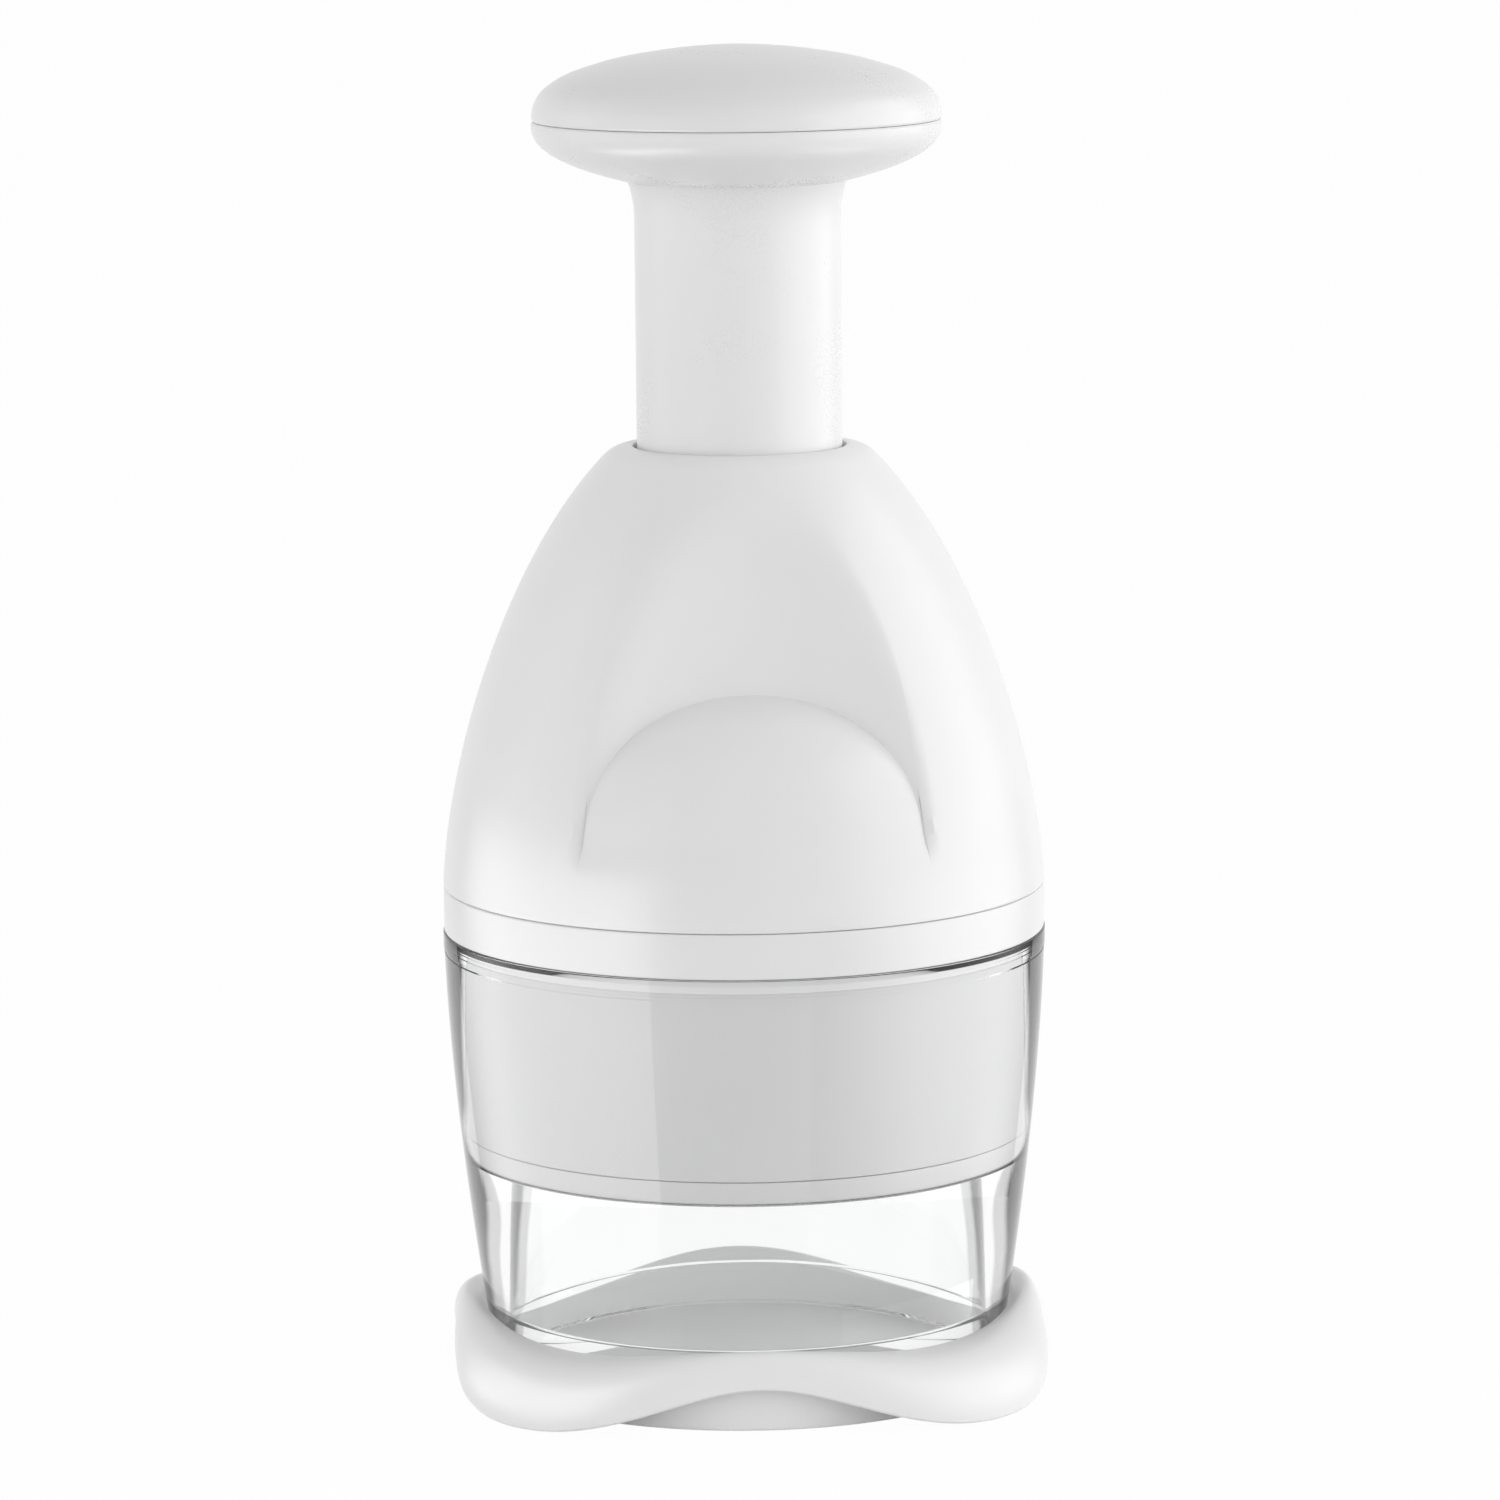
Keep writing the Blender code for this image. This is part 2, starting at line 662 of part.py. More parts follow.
def make_knob_cap(material):
    """The knob's crowned upper shell, with a spigot that snaps into the lower one."""
    low = knob_seam + GAP
    spigot_out = KNOB_RADIUS - KNOB_WALL - FIT
    spigot_in = spigot_out - KNOB_WALL / 2
    outline = crown_curve(KNOB_RADIUS, low, KNOB_CAP_HEIGHT)
    outline += [(spigot_out, low), (spigot_out, low - KNOB_SPIGOT), (spigot_in, low - KNOB_SPIGOT)]
    outline += crown_curve(spigot_in, low, KNOB_CAP_HEIGHT - KNOB_WALL)[::-1]
    return turned("knob_cap", outline, SMALL_STEPS, material)


def make_plunger_tube(material):
    """The tube, the knob's lower shell at its top and the stop flange at its foot, one moulding."""
    rim_in = KNOB_RADIUS - KNOB_WALL
    stop_radius = TUBE_RADIUS + STOP_FLANGE
    foot = [
        (tube_bore, tube_low),
        (stop_radius, tube_low),
        (stop_radius, stop_high),
        (TUBE_RADIUS, stop_high),
        (TUBE_RADIUS, knob_low - KNOB_NECK_HEIGHT),
    ]
    outer = shell_curve(KNOB_RADIUS, knob_seam, KNOB_SKIRT_HEIGHT)[::-1]
    inner = [(rim_in, knob_seam), (rim_in, knob_seam - KNOB_SPIGOT - GAP)]
    inner += shell_curve(rim_in, knob_seam + KNOB_WALL, KNOB_SKIRT_HEIGHT)[3:]
    inner += [
        (TUBE_RADIUS, knob_low + KNOB_WALL),
        (TUBE_RADIUS, knob_seam - KNOB_SPIGOT),
        (tube_bore, knob_seam - KNOB_SPIGOT),
    ]
    return turned("plunger_tube", foot + outer + inner, SMALL_STEPS, material)


def make_tube_plug(material):
    """Closes the tube's foot and carries the spindle's journal."""
    radius = tube_bore - GAP
    bore = JOURNAL_RADIUS + FIT
    high = tube_low + PLUG_THICKNESS
    return turned("tube_plug", block_outline(bore, radius, tube_low, high), SMALL_STEPS, material)


def make_stop_washer(material):
    inner = TUBE_RADIUS + FIT
    outer = TUBE_RADIUS + STOP_FLANGE - GAP
    high = stop_washer_low + STOP_WASHER
    outline = block_outline(inner, outer, stop_washer_low, high)
    return turned("stop_washer", outline, SMALL_STEPS, material)


def spindle_turn_at(height):
    """How far the spindle's section has turned at a height. At the nut it is square to the axes."""
    return -TURN_PER_PRESS / STROKE * (height - nut_low)


def spindle_section(half, corner, height):
    """A square with cut corners, turned as the spindle is at this height."""
    turn = spindle_turn_at(height)
    points = []
    for quarter in range(4):
        for along in (-1, 1):
            x, y = half, along * (half - corner)
            angle = turn + quarter * pi / 2
            points.append((x * cos(angle) - y * sin(angle), x * sin(angle) + y * cos(angle), height))
    return points


def twisted_bar(name, grow, low, high, material=None):
    """A length of the square spindle, grown all round for the bore that it runs in."""
    steps = max(2, round((high - low) / (SPINDLE_SIDE / 2)))
    heights = [low + (high - low) * step / steps for step in range(steps + 1)]
    half = SPINDLE_SIDE / 2 + grow
    return lofted(name, [spindle_section(half, SPINDLE_CORNER, height) for height in heights], material)


def make_spindle(material):
    """A square bar with a slow twist, a round shank in the carrier and a journal in the tube's plug."""
    bar_low = boss_high + GAP
    bar_high = tube_low - GAP
    spindle = twisted_bar("spindle", 0, bar_low, bar_high, material)
    shank = [(SPINDLE_SHANK, blade_high), (SPINDLE_SHANK, bar_low + OVERRUN)]
    unite(spindle, stepped_bar("shank", shank, FINE_STEPS))
    groove_low = clip_low() - GAP
    groove_high = groove_low + CLIP_THICKNESS + 2 * GAP
    neck = JOURNAL_RADIUS - CLIP_GROOVE
    journal = [
        (0, bar_high - OVERRUN),
        (JOURNAL_RADIUS, bar_high - OVERRUN),
        (JOURNAL_RADIUS, groove_low),
        (neck, groove_low),
        (neck, groove_high),
        (JOURNAL_RADIUS, groove_high),
        (JOURNAL_RADIUS, bar_high + JOURNAL_LENGTH),
        (0, bar_high + JOURNAL_LENGTH),
    ]
    unite(spindle, turned("journal", journal, FINE_STEPS))
    return cut(spindle, cross_bar("pin_hole", PIN_RADIUS + FIT, CARRIER_BOSS + OVERRUN))


def cross_bar(name, radius, reach, material=None):
    """A bar along X through the carrier's boss."""
    sections = []
    for across in (-reach, reach):
        turns = [2 * pi * step / PIN_STEPS for step in range(PIN_STEPS)]
        sections.append([(across, radius * cos(a), pin_height + radius * sin(a)) for a in turns])
    return lofted(name, sections, material)


def washer_low():
    return tube_low + PLUG_THICKNESS + GAP


def clip_low():
    return washer_low() + WASHER_THICKNESS + GAP


def make_thrust_washer(material):
    inner = JOURNAL_RADIUS + FIT
    outer = JOURNAL_RADIUS * 2
    low, high = washer_low(), washer_low() + WASHER_THICKNESS
    return turned("thrust_washer", block_outline(inner, outer, low, high), FINE_STEPS, material)


def make_clip(material):
    """An open ring pushed into the journal's groove."""
    inner = JOURNAL_RADIUS - CLIP_GROOVE + GAP
    outer = JOURNAL_RADIUS + 2 * CLIP_GROOVE
    low, high = clip_low(), clip_low() + CLIP_THICKNESS
    outline = block_outline(inner, outer, low, high)
    start, end = CLIP_OPENING / 2, 2 * pi - CLIP_OPENING / 2
    return arc_solid("retaining_clip", outline, start, end, CLIP_STEPS, material)


def make_guide_plate(material):
    """The plate across the bell's foot: nut housing and spring seat above, bayonet hooks below."""
    hole = spindle_reach + FIT * 2
    rim = bell_radius_at(guide_high) - BELL_WALL - GAP * 2
    housing_high = nut_cap_low - GAP
    plate = turned(
        "guide_plate",
        [
            (hole, guide_low),
            (rim, guide_low),
            (rim, guide_high),
            (nut_housing_radius, guide_high),
            (nut_housing_radius, housing_high),
            (nut_housing_bore, housing_high),
            (nut_housing_bore, guide_high),
            (hole, guide_high),
        ],
        LARGE_STEPS,
        material,
    )
    foot_high = flange_low - HOOK_PLAY
    foot_low = foot_high - HOOK_THICKNESS
    for index in range(BAYONETS):
        start = 2 * pi * index / BAYONETS - BAYONET_WIDTH / 2
        end = start + BAYONET_WIDTH
        stem_out = hook_radius + HOOK_STEM
        hook = [
            (hook_radius, foot_low),
            (stem_out + HOOK_REACH, foot_low),
            (stem_out + HOOK_REACH, foot_high),
            (stem_out, foot_high),
            (stem_out, guide_low + OVERRUN),
            (hook_radius, guide_low + OVERRUN),
        ]
        unite(plate, arc_solid("hook", hook, start, end, HOOK_STEPS))
    for place in guide_screw_places():
        cut(plate, screw_solid("screw_hole", place, FIT, OVERRUN))
    return plate


def screw_solid(name, place, grow, overrun, material=None):
    """A countersunk screw, head down, or the hole that it passes through."""
    wide = SCREW_HEAD_RADIUS + grow
    narrow = SCREW_RADIUS + grow
    low = guide_low + GAP
    levels = [
        (wide, low - overrun),
        (wide, low + GAP),
        (narrow, low + SCREW_HEAD_RADIUS / 2),
        (narrow, guide_high + SCREW_LENGTH - GAP + overrun),
    ]
    return stepped_bar(name, levels, PIN_STEPS, place, material)


def make_guide_screws(material):
    places = guide_screw_places()
    return [screw_solid(f"guide_screw_{index + 1}", place, 0, 0, material) for index, place in enumerate(places)]


def tooth_angles():
    """Where each of the ratchet's teeth starts, is half way up and crests."""
    tooth = 2 * pi / RATCHET_TEETH
    shares = (0, TOOTH_RISE_SHARE / 2, TOOTH_RISE_SHARE)
    return [tooth * (index + share) for index in range(RATCHET_TEETH) for share in shares]


def tooth_height_at(angle):
    """A ramp and a steep drop for each tooth."""
    share = angle * RATCHET_TEETH / (2 * pi) % 1
    if share <= TOOTH_RISE_SHARE:
        return TOOTH_HEIGHT * share / TOOTH_RISE_SHARE
    return TOOTH_HEIGHT * (1 - share) / (1 - TOOTH_RISE_SHARE)


def make_ratchet_nut(material):
    """The spindle's nut, with face teeth on top and a bore with the spindle's twist."""
    tooth_in = spindle_reach + FIT + NUT_WALL

    def outline(angle):
        crest = nut_high - TOOTH_HEIGHT + tooth_height_at(angle)
        return [
            (0, nut_low),
            (NUT_RADIUS, nut_low),
            (NUT_RADIUS, crest),
            (tooth_in, crest),
            (tooth_in, nut_high - TOOTH_HEIGHT),
            (0, nut_high - TOOTH_HEIGHT),
        ]

    nut = swept_round("ratchet_nut", outline, tooth_angles(), material)
    return cut(nut, twisted_bar("bore", FIT, nut_low - OVERRUN, nut_high + OVERRUN))


def make_nut_cap(material):
    """Closes the nut's housing, with teeth below that lock the nut as the plunger comes back up."""
    hole = spindle_reach + FIT * 2
    tooth_in = spindle_reach + FIT + NUT_WALL
    high = nut_cap_low + NUT_CAP_THICKNESS

    def outline(angle):
        root = nut_high - TOOTH_HEIGHT + tooth_height_at(angle) + NUT_PLAY
        return [
            (hole, high),
            (hole, nut_cap_low),
            (tooth_in, nut_cap_low),
            (tooth_in, root),
            (NUT_RADIUS, root),
            (NUT_RADIUS, nut_cap_low),
            (nut_housing_radius, nut_cap_low),
            (nut_housing_radius, high),
        ]

    return swept_round("ratchet_cap", outline, tooth_angles(), material)


def spring_seat_high():
    return guide_high + GAP + WASHER_THICKNESS


def make_spring_washer(material):
    inner = SPRING_RADIUS - SPRING_WASHER_WIDTH / 2
    outer = SPRING_RADIUS + SPRING_WASHER_WIDTH / 2
    low, high = guide_high + GAP, spring_seat_high()
    return turned("spring_washer", block_outline(inner, outer, low, high), SMALL_STEPS, material)


def spring_points():
    """The middle of the wire, up the coils: an end turn lies closer than the working turns."""
    low = spring_seat_high() + GAP + SPRING_WIRE / 2
    high = tube_low - GAP - SPRING_WIRE / 2
    end_pitch = SPRING_WIRE + SPRING_END_GAP
    turns = SPRING_TURNS + 2 * SPRING_END_TURNS
    working_pitch = (high - low - 2 * SPRING_END_TURNS * end_pitch) / SPRING_TURNS
    points = []
    for index in range(turns * SPRING_POINTS + 1):
        turn = index / SPRING_POINTS
        end = min(turn, SPRING_END_TURNS) + max(0, turn - SPRING_END_TURNS - SPRING_TURNS)
        working = min(max(0, turn - SPRING_END_TURNS), SPRING_TURNS)
        height = low + end * end_pitch + working * working_pitch
        angle = 2 * pi * turn
        points.append(Vector((SPRING_RADIUS * cos(angle), SPRING_RADIUS * sin(angle), height)))
    return points


def least_spring_gap(points):
    """The least clear distance between the wire's turns, on the points."""
    nearest = min(
        (points[second] - points[first]).length
        for first in range(len(points))
        for second in range(first + SPRING_POINTS // 2, len(points))
    )
    return nearest - SPRING_WIRE


def make_spring(material):
    points = spring_points()
    curve = bpy.data.curves.new("return_spring", "CURVE")
    curve.dimensions = "3D"
    curve.bevel_depth = SPRING_WIRE / 2
    curve.bevel_resolution = 1
    curve.use_fill_caps = True
    spline = curve.splines.new("POLY")
    spline.points.add(len(points) - 1)
    for place, point in zip(spline.points, points):
        place.co = (*point, 1)
    curve.materials.append(material)
    spring = bpy.data.objects.new("return_spring", curve)
    bpy.context.scene.collection.objects.link(spring)
    print(f"return_spring: least gap between turns {least_spring_gap(points) * 1000:.2f} mm")
    return spring


def blade_route(side):
    """The folds of one blade seen from above, on one side of the axis."""
    route = []
    for fold in range(BLADE_FOLDS + 1):
        along = blade_span * (2 * fold / BLADE_FOLDS - 1)
        away = BLADE_NEAR if fold % 2 == 0 else blade_far
        route.append(Vector((side * along, side * away)))
    return route


def folded_strip(name, route, levels, overhang=0.0, material=None):
    """An upright strip along a folded route, its half width given at each height, mitred at the folds."""
    solid = bmesh.new()
    ends = [route[0] + (route[0] - route[1]).normalized() * overhang]
    ends += route[1:-1]
    ends += [route[-1] + (route[-1] - route[-2]).normalized() * overhang]
    runs = [(after - before).normalized() for before, after in zip(ends, ends[1:])]
    mitres = []
    for index in range(len(ends)):
        before = runs[max(index - 1, 0)]
        after = runs[min(index, len(runs) - 1)]
        across = Vector((-before.y - after.y, before.x + after.x)).normalized()
        mitres.append(across / (-before.y * across.x + before.x * across.y))
    rows = []
    for height, half in levels:
        left = [solid.verts.new((*(end + mitre * half), height)) for end, mitre in zip(ends, mitres)]
        right = [solid.verts.new((*(end - mitre * half), height)) for end, mitre in zip(ends, mitres)]
        rows.append((left, right))
    for left, right in (rows[0], rows[-1]):
        for index in range(len(ends) - 1):
            solid.faces.new((left[index], left[index + 1], right[index + 1], right[index]))
    for (left, right), (left_up, right_up) in zip(rows, rows[1:]):
        loop = left + right[::-1]
        loop_up = left_up + right_up[::-1]
        for index, point in enumerate(loop):
            after = (index + 1) % len(loop)
            solid.faces.new((point, loop[after], loop_up[after], loop_up[index]))
    return add_object(name, solid, material)


def make_blade(name, side, material):
    """A folded strip of steel, ground to an edge along its foot."""
    levels = [
        (blade_low, BLADE_EDGE / 2),
        (blade_low + BLADE_EDGE_HEIGHT, BLADE_THICKNESS / 2),
        (blade_high, BLADE_THICKNESS / 2),
    ]
    return folded_strip(name, blade_route(side), levels, 0, material)


def blade_slot(side, fit, low, high):
    """The space that a blade passes or sits in."""
    half = BLADE_THICKNESS / 2 + fit
    return folded_strip("slot", blade_route(side), [(low, half), (high, half)], fit)


def make_carrier(material):
    """The disc that holds both blades in grooves, with a boss for the spindle's shank and holes for two pegs."""
    bore = SPINDLE_SHANK + GAP
    outline = [
        (bore, carrier_low),
        (carrier_radius, carrier_low),
        (carrier_radius, carrier_high),
        (CARRIER_BOSS, carrier_high),
        (CARRIER_BOSS, boss_high),
        (bore, boss_high),
    ]
    carrier = turned("blade_carrier", outline, SMALL_STEPS, material)
    hole = PEG_RADIUS + FIT
    through = [(hole, carrier_low - OVERRUN), (hole, carrier_high + OVERRUN)]
    for side in (-1, 1):
        cut(carrier, stepped_bar("peg_hole", through, PIN_STEPS, (side * PEG_DISTANCE, 0)))
    cut(carrier, cross_bar("pin_hole", PIN_RADIUS + FIT, CARRIER_BOSS + OVERRUN))
    for side in (-1, 1):
        cut(carrier, blade_slot(side, GAP, carrier_low - OVERRUN, carrier_low + CARRIER_GROOVE))
    return carrier


def make_wiper(material):
    """A slotted plate that slides on the blades and scrapes them clean, hung from the carrier by headed pegs."""
    outline = [(0, wiper_low), (wiper_radius, wiper_low), (wiper_radius, wiper_high), (0, wiper_high)]
    wiper = turned("wiper_plate", outline, LARGE_STEPS, material)
    head_low = carrier_high + GAP
    peg = [
        (PEG_RADIUS, wiper_low + WIPER_THICKNESS / 2),
        (PEG_RADIUS, head_low),
        (PEG_HEAD_RADIUS, head_low),
        (PEG_HEAD_RADIUS, head_low + PEG_HEAD_HEIGHT / 2),
        (PEG_RADIUS, head_low + PEG_HEAD_HEIGHT),
    ]
    for side in (-1, 1):
        unite(wiper, stepped_bar("peg", peg, PIN_STEPS, (side * PEG_DISTANCE, 0)))
    for side in (-1, 1):
        cut(wiper, blade_slot(side, WIPER_SLOT_FIT, wiper_low - OVERRUN, wiper_high + OVERRUN))
    return wiper


def make_guard_ring(material):
    """The ring that closes the sleeve's foot, on a skirt whose bead snaps into the sleeve."""
    bore = ring_skirt - RING_WALL
    bead = sleeve_bore + RING_BEAD - FIT
    bead_low = ring_high - RING_BEAD_HEIGHT
    outline = [
        (bore, ring_low),
        (sleeve_radius, ring_low),
        (sleeve_radius, ring_rim_high),
        (ring_skirt, ring_rim_high),
        (ring_skirt, bead_low - RING_BEAD),
        (bead, bead_low),
        (bead, ring_high - RING_BEAD / 2),
        (ring_skirt, ring_high),
        (bore, ring_high),
    ]
    return turned("guard_ring", outline, LARGE_STEPS, material)


def gather(name, parent, pieces):
    """An empty on the joint's axis that carries the pieces of one moving group."""
    group = bpy.data.objects.new(name, None)
    bpy.context.scene.collection.objects.link(group)
    group.parent = parent
    for piece in pieces:
        piece.parent = group
    return group


def main():
    clear_scene()
    white = make_material("white_plastic", (0.80, 0.80, 0.80), 0.35)
    inner = make_material("inner_plastic", (0.72, 0.73, 0.74), 0.45)
    clear = make_material("clear_plastic", (0.95, 0.96, 0.97), 0.03, transmission=1.0)
    steel = make_material("steel", (0.62, 0.63, 0.65), 0.28, metallic=1.0)
    rubber = make_material("soft_rubber", (0.42, 0.43, 0.44), 0.75)

    base = gather("base", None, [make_base(white), make_foot_pad(rubber)])
    cup = gather("cup", base, [make_cup(clear)])
    housing = gather("housing", cup, [make_blade_housing(white), make_guard_ring(white)])
    bell = gather(
        "bell",
        housing,
        [
            make_bell(white),
            make_bush(inner),
            make_guide_plate(inner),
            *make_guide_screws(steel),
            make_ratchet_nut(inner),
            make_nut_cap(inner),
            make_spring_washer(steel),
        ],
    )
    plunger = gather(
        "plunger",
        bell,
        [
            make_knob_cap(white),
            make_plunger_tube(white),
            make_tube_plug(inner),
            make_stop_washer(rubber),
            make_spring(steel),
        ],
    )
    rotor = gather(
        "blade_rotor",
        plunger,
        [
            make_spindle(steel),
            make_thrust_washer(steel),
            make_clip(steel),
            make_carrier(inner),
            make_blade("blade_left", -1, steel),
            make_blade("blade_right", 1, steel),
            cross_bar("carrier_pin", PIN_RADIUS, CARRIER_BOSS - GAP, steel),
        ],
    )
    gather("wiper", rotor, [make_wiper(inner)])
    for thing in bpy.data.objects:
        if thing.type == "MESH":
            thing.data.shade_smooth()
            thing.data.set_sharp_from_angle(angle=SHARP_ANGLE)


main()
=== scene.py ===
"""The looks of a plunger food chopper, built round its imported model.

Metres, +Z up, the front faces -Y. Each visible piece stands for the CAD nodes that it replaces.
"""

from math import atan2, cos, pi, radians, sin, sqrt, tan

import bmesh
import bpy
import numpy as np
from mathutils import Matrix, Vector


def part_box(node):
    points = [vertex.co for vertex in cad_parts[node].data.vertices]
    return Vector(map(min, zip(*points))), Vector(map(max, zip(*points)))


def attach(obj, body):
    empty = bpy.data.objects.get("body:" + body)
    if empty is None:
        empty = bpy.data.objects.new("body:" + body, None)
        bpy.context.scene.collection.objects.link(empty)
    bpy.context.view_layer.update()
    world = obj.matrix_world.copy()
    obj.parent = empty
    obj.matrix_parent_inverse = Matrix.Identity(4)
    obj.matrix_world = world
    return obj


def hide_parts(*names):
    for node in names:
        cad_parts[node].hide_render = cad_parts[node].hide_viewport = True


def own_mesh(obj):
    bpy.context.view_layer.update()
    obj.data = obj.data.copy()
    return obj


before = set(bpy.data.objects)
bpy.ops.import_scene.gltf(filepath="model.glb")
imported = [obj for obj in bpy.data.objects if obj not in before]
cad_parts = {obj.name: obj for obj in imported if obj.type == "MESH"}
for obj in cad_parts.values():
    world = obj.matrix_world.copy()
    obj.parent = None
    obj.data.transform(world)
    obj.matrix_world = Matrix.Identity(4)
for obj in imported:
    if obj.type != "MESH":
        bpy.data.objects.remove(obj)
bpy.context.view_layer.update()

ROUND_STEPS = 192  # facets round the big pieces
BASE_STEPS = 240  # round the wavy base
SMALL_STEPS = 96  # round the tube and the mechanism
SCREW_STEPS = 24
SOFT_ANGLE = radians(32)  # sharper edges than this stay crisp
DOUBLE_DISTANCE = 0.0000005  # points nearer than this are one
POLE_RADIUS = 0.0000001  # a point nearer to the axis than this is a pole
TENTH = 0.0001  # a tenth of a millimetre

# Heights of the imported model, in metres
cup_low, cup_high = (corner.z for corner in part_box("clear_cup"))
band_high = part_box("blade_housing")[1].z
bell_low, bell_high = (corner.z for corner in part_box("bell_housing"))
tube_low, knob_seam = (corner.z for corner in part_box("plunger_tube"))
knob_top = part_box("knob_cap")[1].z

# Its other sizes, in metres
GAP = 0.0003  # between pieces that touch
FIT = 0.00035  # between pieces that slide or turn in each other
BREAK = 0.0001  # the least break of an edge and the least gap at a seam
FLOOR_TOP = 0.0062
FLOOR_THICKNESS = 0.0020
PAD_RADIUS = 0.0415
PAD_THICKNESS = 0.0024
PAD_RING_RADIUS = 0.0210
DRUM_RADIUS = 0.0463
DRUM_WALL = 0.0018
BASE_ARCH_RADIUS = 0.0502
BASE_LOBE_RADIUS = 0.0578
BASE_ARCH_HEIGHT = 0.0080
BASE_EDGE_HEIGHT = 0.0012
BASE_WALL = 0.0018
RIM_ARCH_HEIGHT = 0.0142
RIM_LOBE_HEIGHT = 0.0112
BASE_LOBES = 4
ARCH_SHAPE = 1.2  # how much narrower than a cosine the arches are
CUP_RIM_RADIUS = 0.0512
CUP_TAPER = 0.0072
CUP_TAPER_SHAPE = 1.57  # how late the taper comes, 1 is a straight cone
CHAMBER_RADIUS = 0.0403
LEDGE_HEIGHT = 0.0386
SLEEVE_LOW = 0.0427
SLEEVE_RADIUS = 0.0473
SLEEVE_WALL = 0.0020
GUARD_BORE = 0.04315
GUARD_NECK_RADIUS = 0.04495
GUARD_HIGH = 0.0479
FLANGE_BORE = 0.0360
FLANGE_THICKNESS = 0.0022
BELL_RADIUS = 0.0510
BELL_CURVE_HEIGHT = 0.0840
BELL_CURVE_SHAPE = 1.54
BELL_WALL = 0.0022
BUSH_WALL = 0.0020
TUBE_RADIUS = 0.0173
TUBE_WALL = 0.0020
KNOB_RADIUS = 0.0344
KNOB_WALL = 0.0022


class Value:
    """One output of a node, ready for sums and for the sockets of other nodes."""

    def __init__(self, tree, socket):
        self.tree = tree
        self.socket = socket

    def other(self, output):
        return Value(self.tree, self.socket.node.outputs[output])

    def math(self, operation, *values):
        return self.tree.math(operation, self, *values)

    def __add__(self, value):
        return self.math("ADD", value)

    def __radd__(self, value):
        return self.tree.math("ADD", value, self)

    def __sub__(self, value):
        return self.math("SUBTRACT", value)

    def __rsub__(self, value):
        return self.tree.math("SUBTRACT", value, self)

    def __mul__(self, value):
        return self.math("MULTIPLY", value)

    def __truediv__(self, value):
        return self.math("DIVIDE", value)

    def __pow__(self, value):
        return self.math("POWER", value)

    def __neg__(self):
        return self.math("MULTIPLY", -1)


class Tree:
    """A node tree that nodes are added to one call at a time."""

    def __init__(self, nodes):
        self.nodes = nodes

    def node(self, kind, settings=None, inputs=None, output=0):
        made = self.nodes.nodes.new(kind)
        for name, setting in (settings or {}).items():
            setattr(made, name, setting)
        for name, value in (inputs or {}).items():
            if isinstance(value, Value):
                self.nodes.links.new(value.socket, made.inputs[name])
            else:
                made.inputs[name].default_value = value
        return Value(self, made.outputs[output]) if made.outputs else made

    def math(self, operation, *values):
        return self.node("ShaderNodeMath", {"operation": operation}, dict(enumerate(values)))

    def blend(self, share, first, second):
        """A colour between two, by a value from 0 to 1."""
        return self.node("ShaderNodeMix", {"data_type": "RGBA"}, {0: share, 6: first, 7: second}, 2)

    def connect(self, value, node, name):
        self.nodes.links.new(value.socket, node.inputs[name])


# Materials

PLASTIC_IOR = 1.5
PLASTIC_MOTTLE = 0.012  # how far the tone goes up, and half of how far it goes down
CLEAR_IOR = 1.36
# How near the cup's outline, as a share of its radius there, the wall's painted shade starts, at heights
# given as shares of the cup's. This painted shade stands in for the dark room that the thick wall would
# refract. The first two points are the curve's ends.
CUP_PAINTED_EDGE_LINE = [
    (0.0, 0.985), (1.0, 0.937), (0.28, 0.968), (0.50, 0.955), (0.53, 0.980), (0.66, 0.970), (0.84, 0.955),
]
CUP_PAINTED_STREAK_LINE = [(0.0, 0.96), (1.0, 1.0), (0.28, 0.935), (0.50, 0.925), (0.53, 0.99), (0.66, 0.99)]
CUP_PAINTED_EDGE_BLUR = 0.010
CUP_PAINTED_STREAK_BLUR = 0.006
CUP_PAINTED_STREAK_SHARE = 0.75
# Painted shade: near black at the wall's outline and grey for the streak inside it, standing in for a
# refracted dark room
CUP_PAINTED_EDGE_SHADE = (0.012, 0.012, 0.013, 1)
CUP_PAINTED_STREAK_SHADE = (0.30, 0.30, 0.31, 1)
CUP_THIN_TINTS = (0.980, 0.983, 0.985, 1), (0.990, 0.992, 0.993, 1)


def shader_tree(name):
    """A new material, its tree and its surface shader."""
    material = bpy.data.materials.new(name)
    material.use_nodes = True
    return material, Tree(material.node_tree), material.node_tree.nodes["Principled BSDF"]


def places(tree):
    return tree.node("ShaderNodeTexCoord", output="Object")


def noise(tree, where, scale, detail=2.0, roughness=0.5):
    inputs = {"Vector": where, "Scale": scale, "Detail": detail, "Roughness": roughness}
    return tree.node("ShaderNodeTexNoise", {}, inputs)


def add_bump(tree, shader, height, strength, distance):
    inputs = {"Strength": strength, "Distance": distance, "Height": height}
    tree.connect(tree.node("ShaderNodeBump", {}, inputs), shader, "Normal")


def toned(tone, share):
    """A tone made darker or lighter, with its alpha."""
    return tuple(min(1.0, part * share) for part in tone) + (1.0,)


def moulded_plastic(name, tone, roughness):
    """Moulded plastic: a faint mottle, a fine spark-eroded grain and a gloss that varies a little."""
    material, tree, shader = shader_tree(name)
    where = places(tree)
    cloud = noise(tree, where, scale=42.0, detail=3.0)
    fine = noise(tree, where, scale=2600.0, roughness=0.6)
    ripple = noise(tree, where, scale=160.0)
    dark, light = toned(tone, 1 - 2 * PLASTIC_MOTTLE), toned(tone, 1 + PLASTIC_MOTTLE)
    tree.connect(tree.blend(cloud, dark, light), shader, "Base Color")
    tree.connect(roughness - 0.03 + cloud * 0.04 + fine * 0.02, shader, "Roughness")
    add_bump(tree, shader, fine * 0.35 + ripple * 0.65, strength=0.006, distance=0.0004)
    shader.inputs["IOR"].default_value = PLASTIC_IOR
    return material


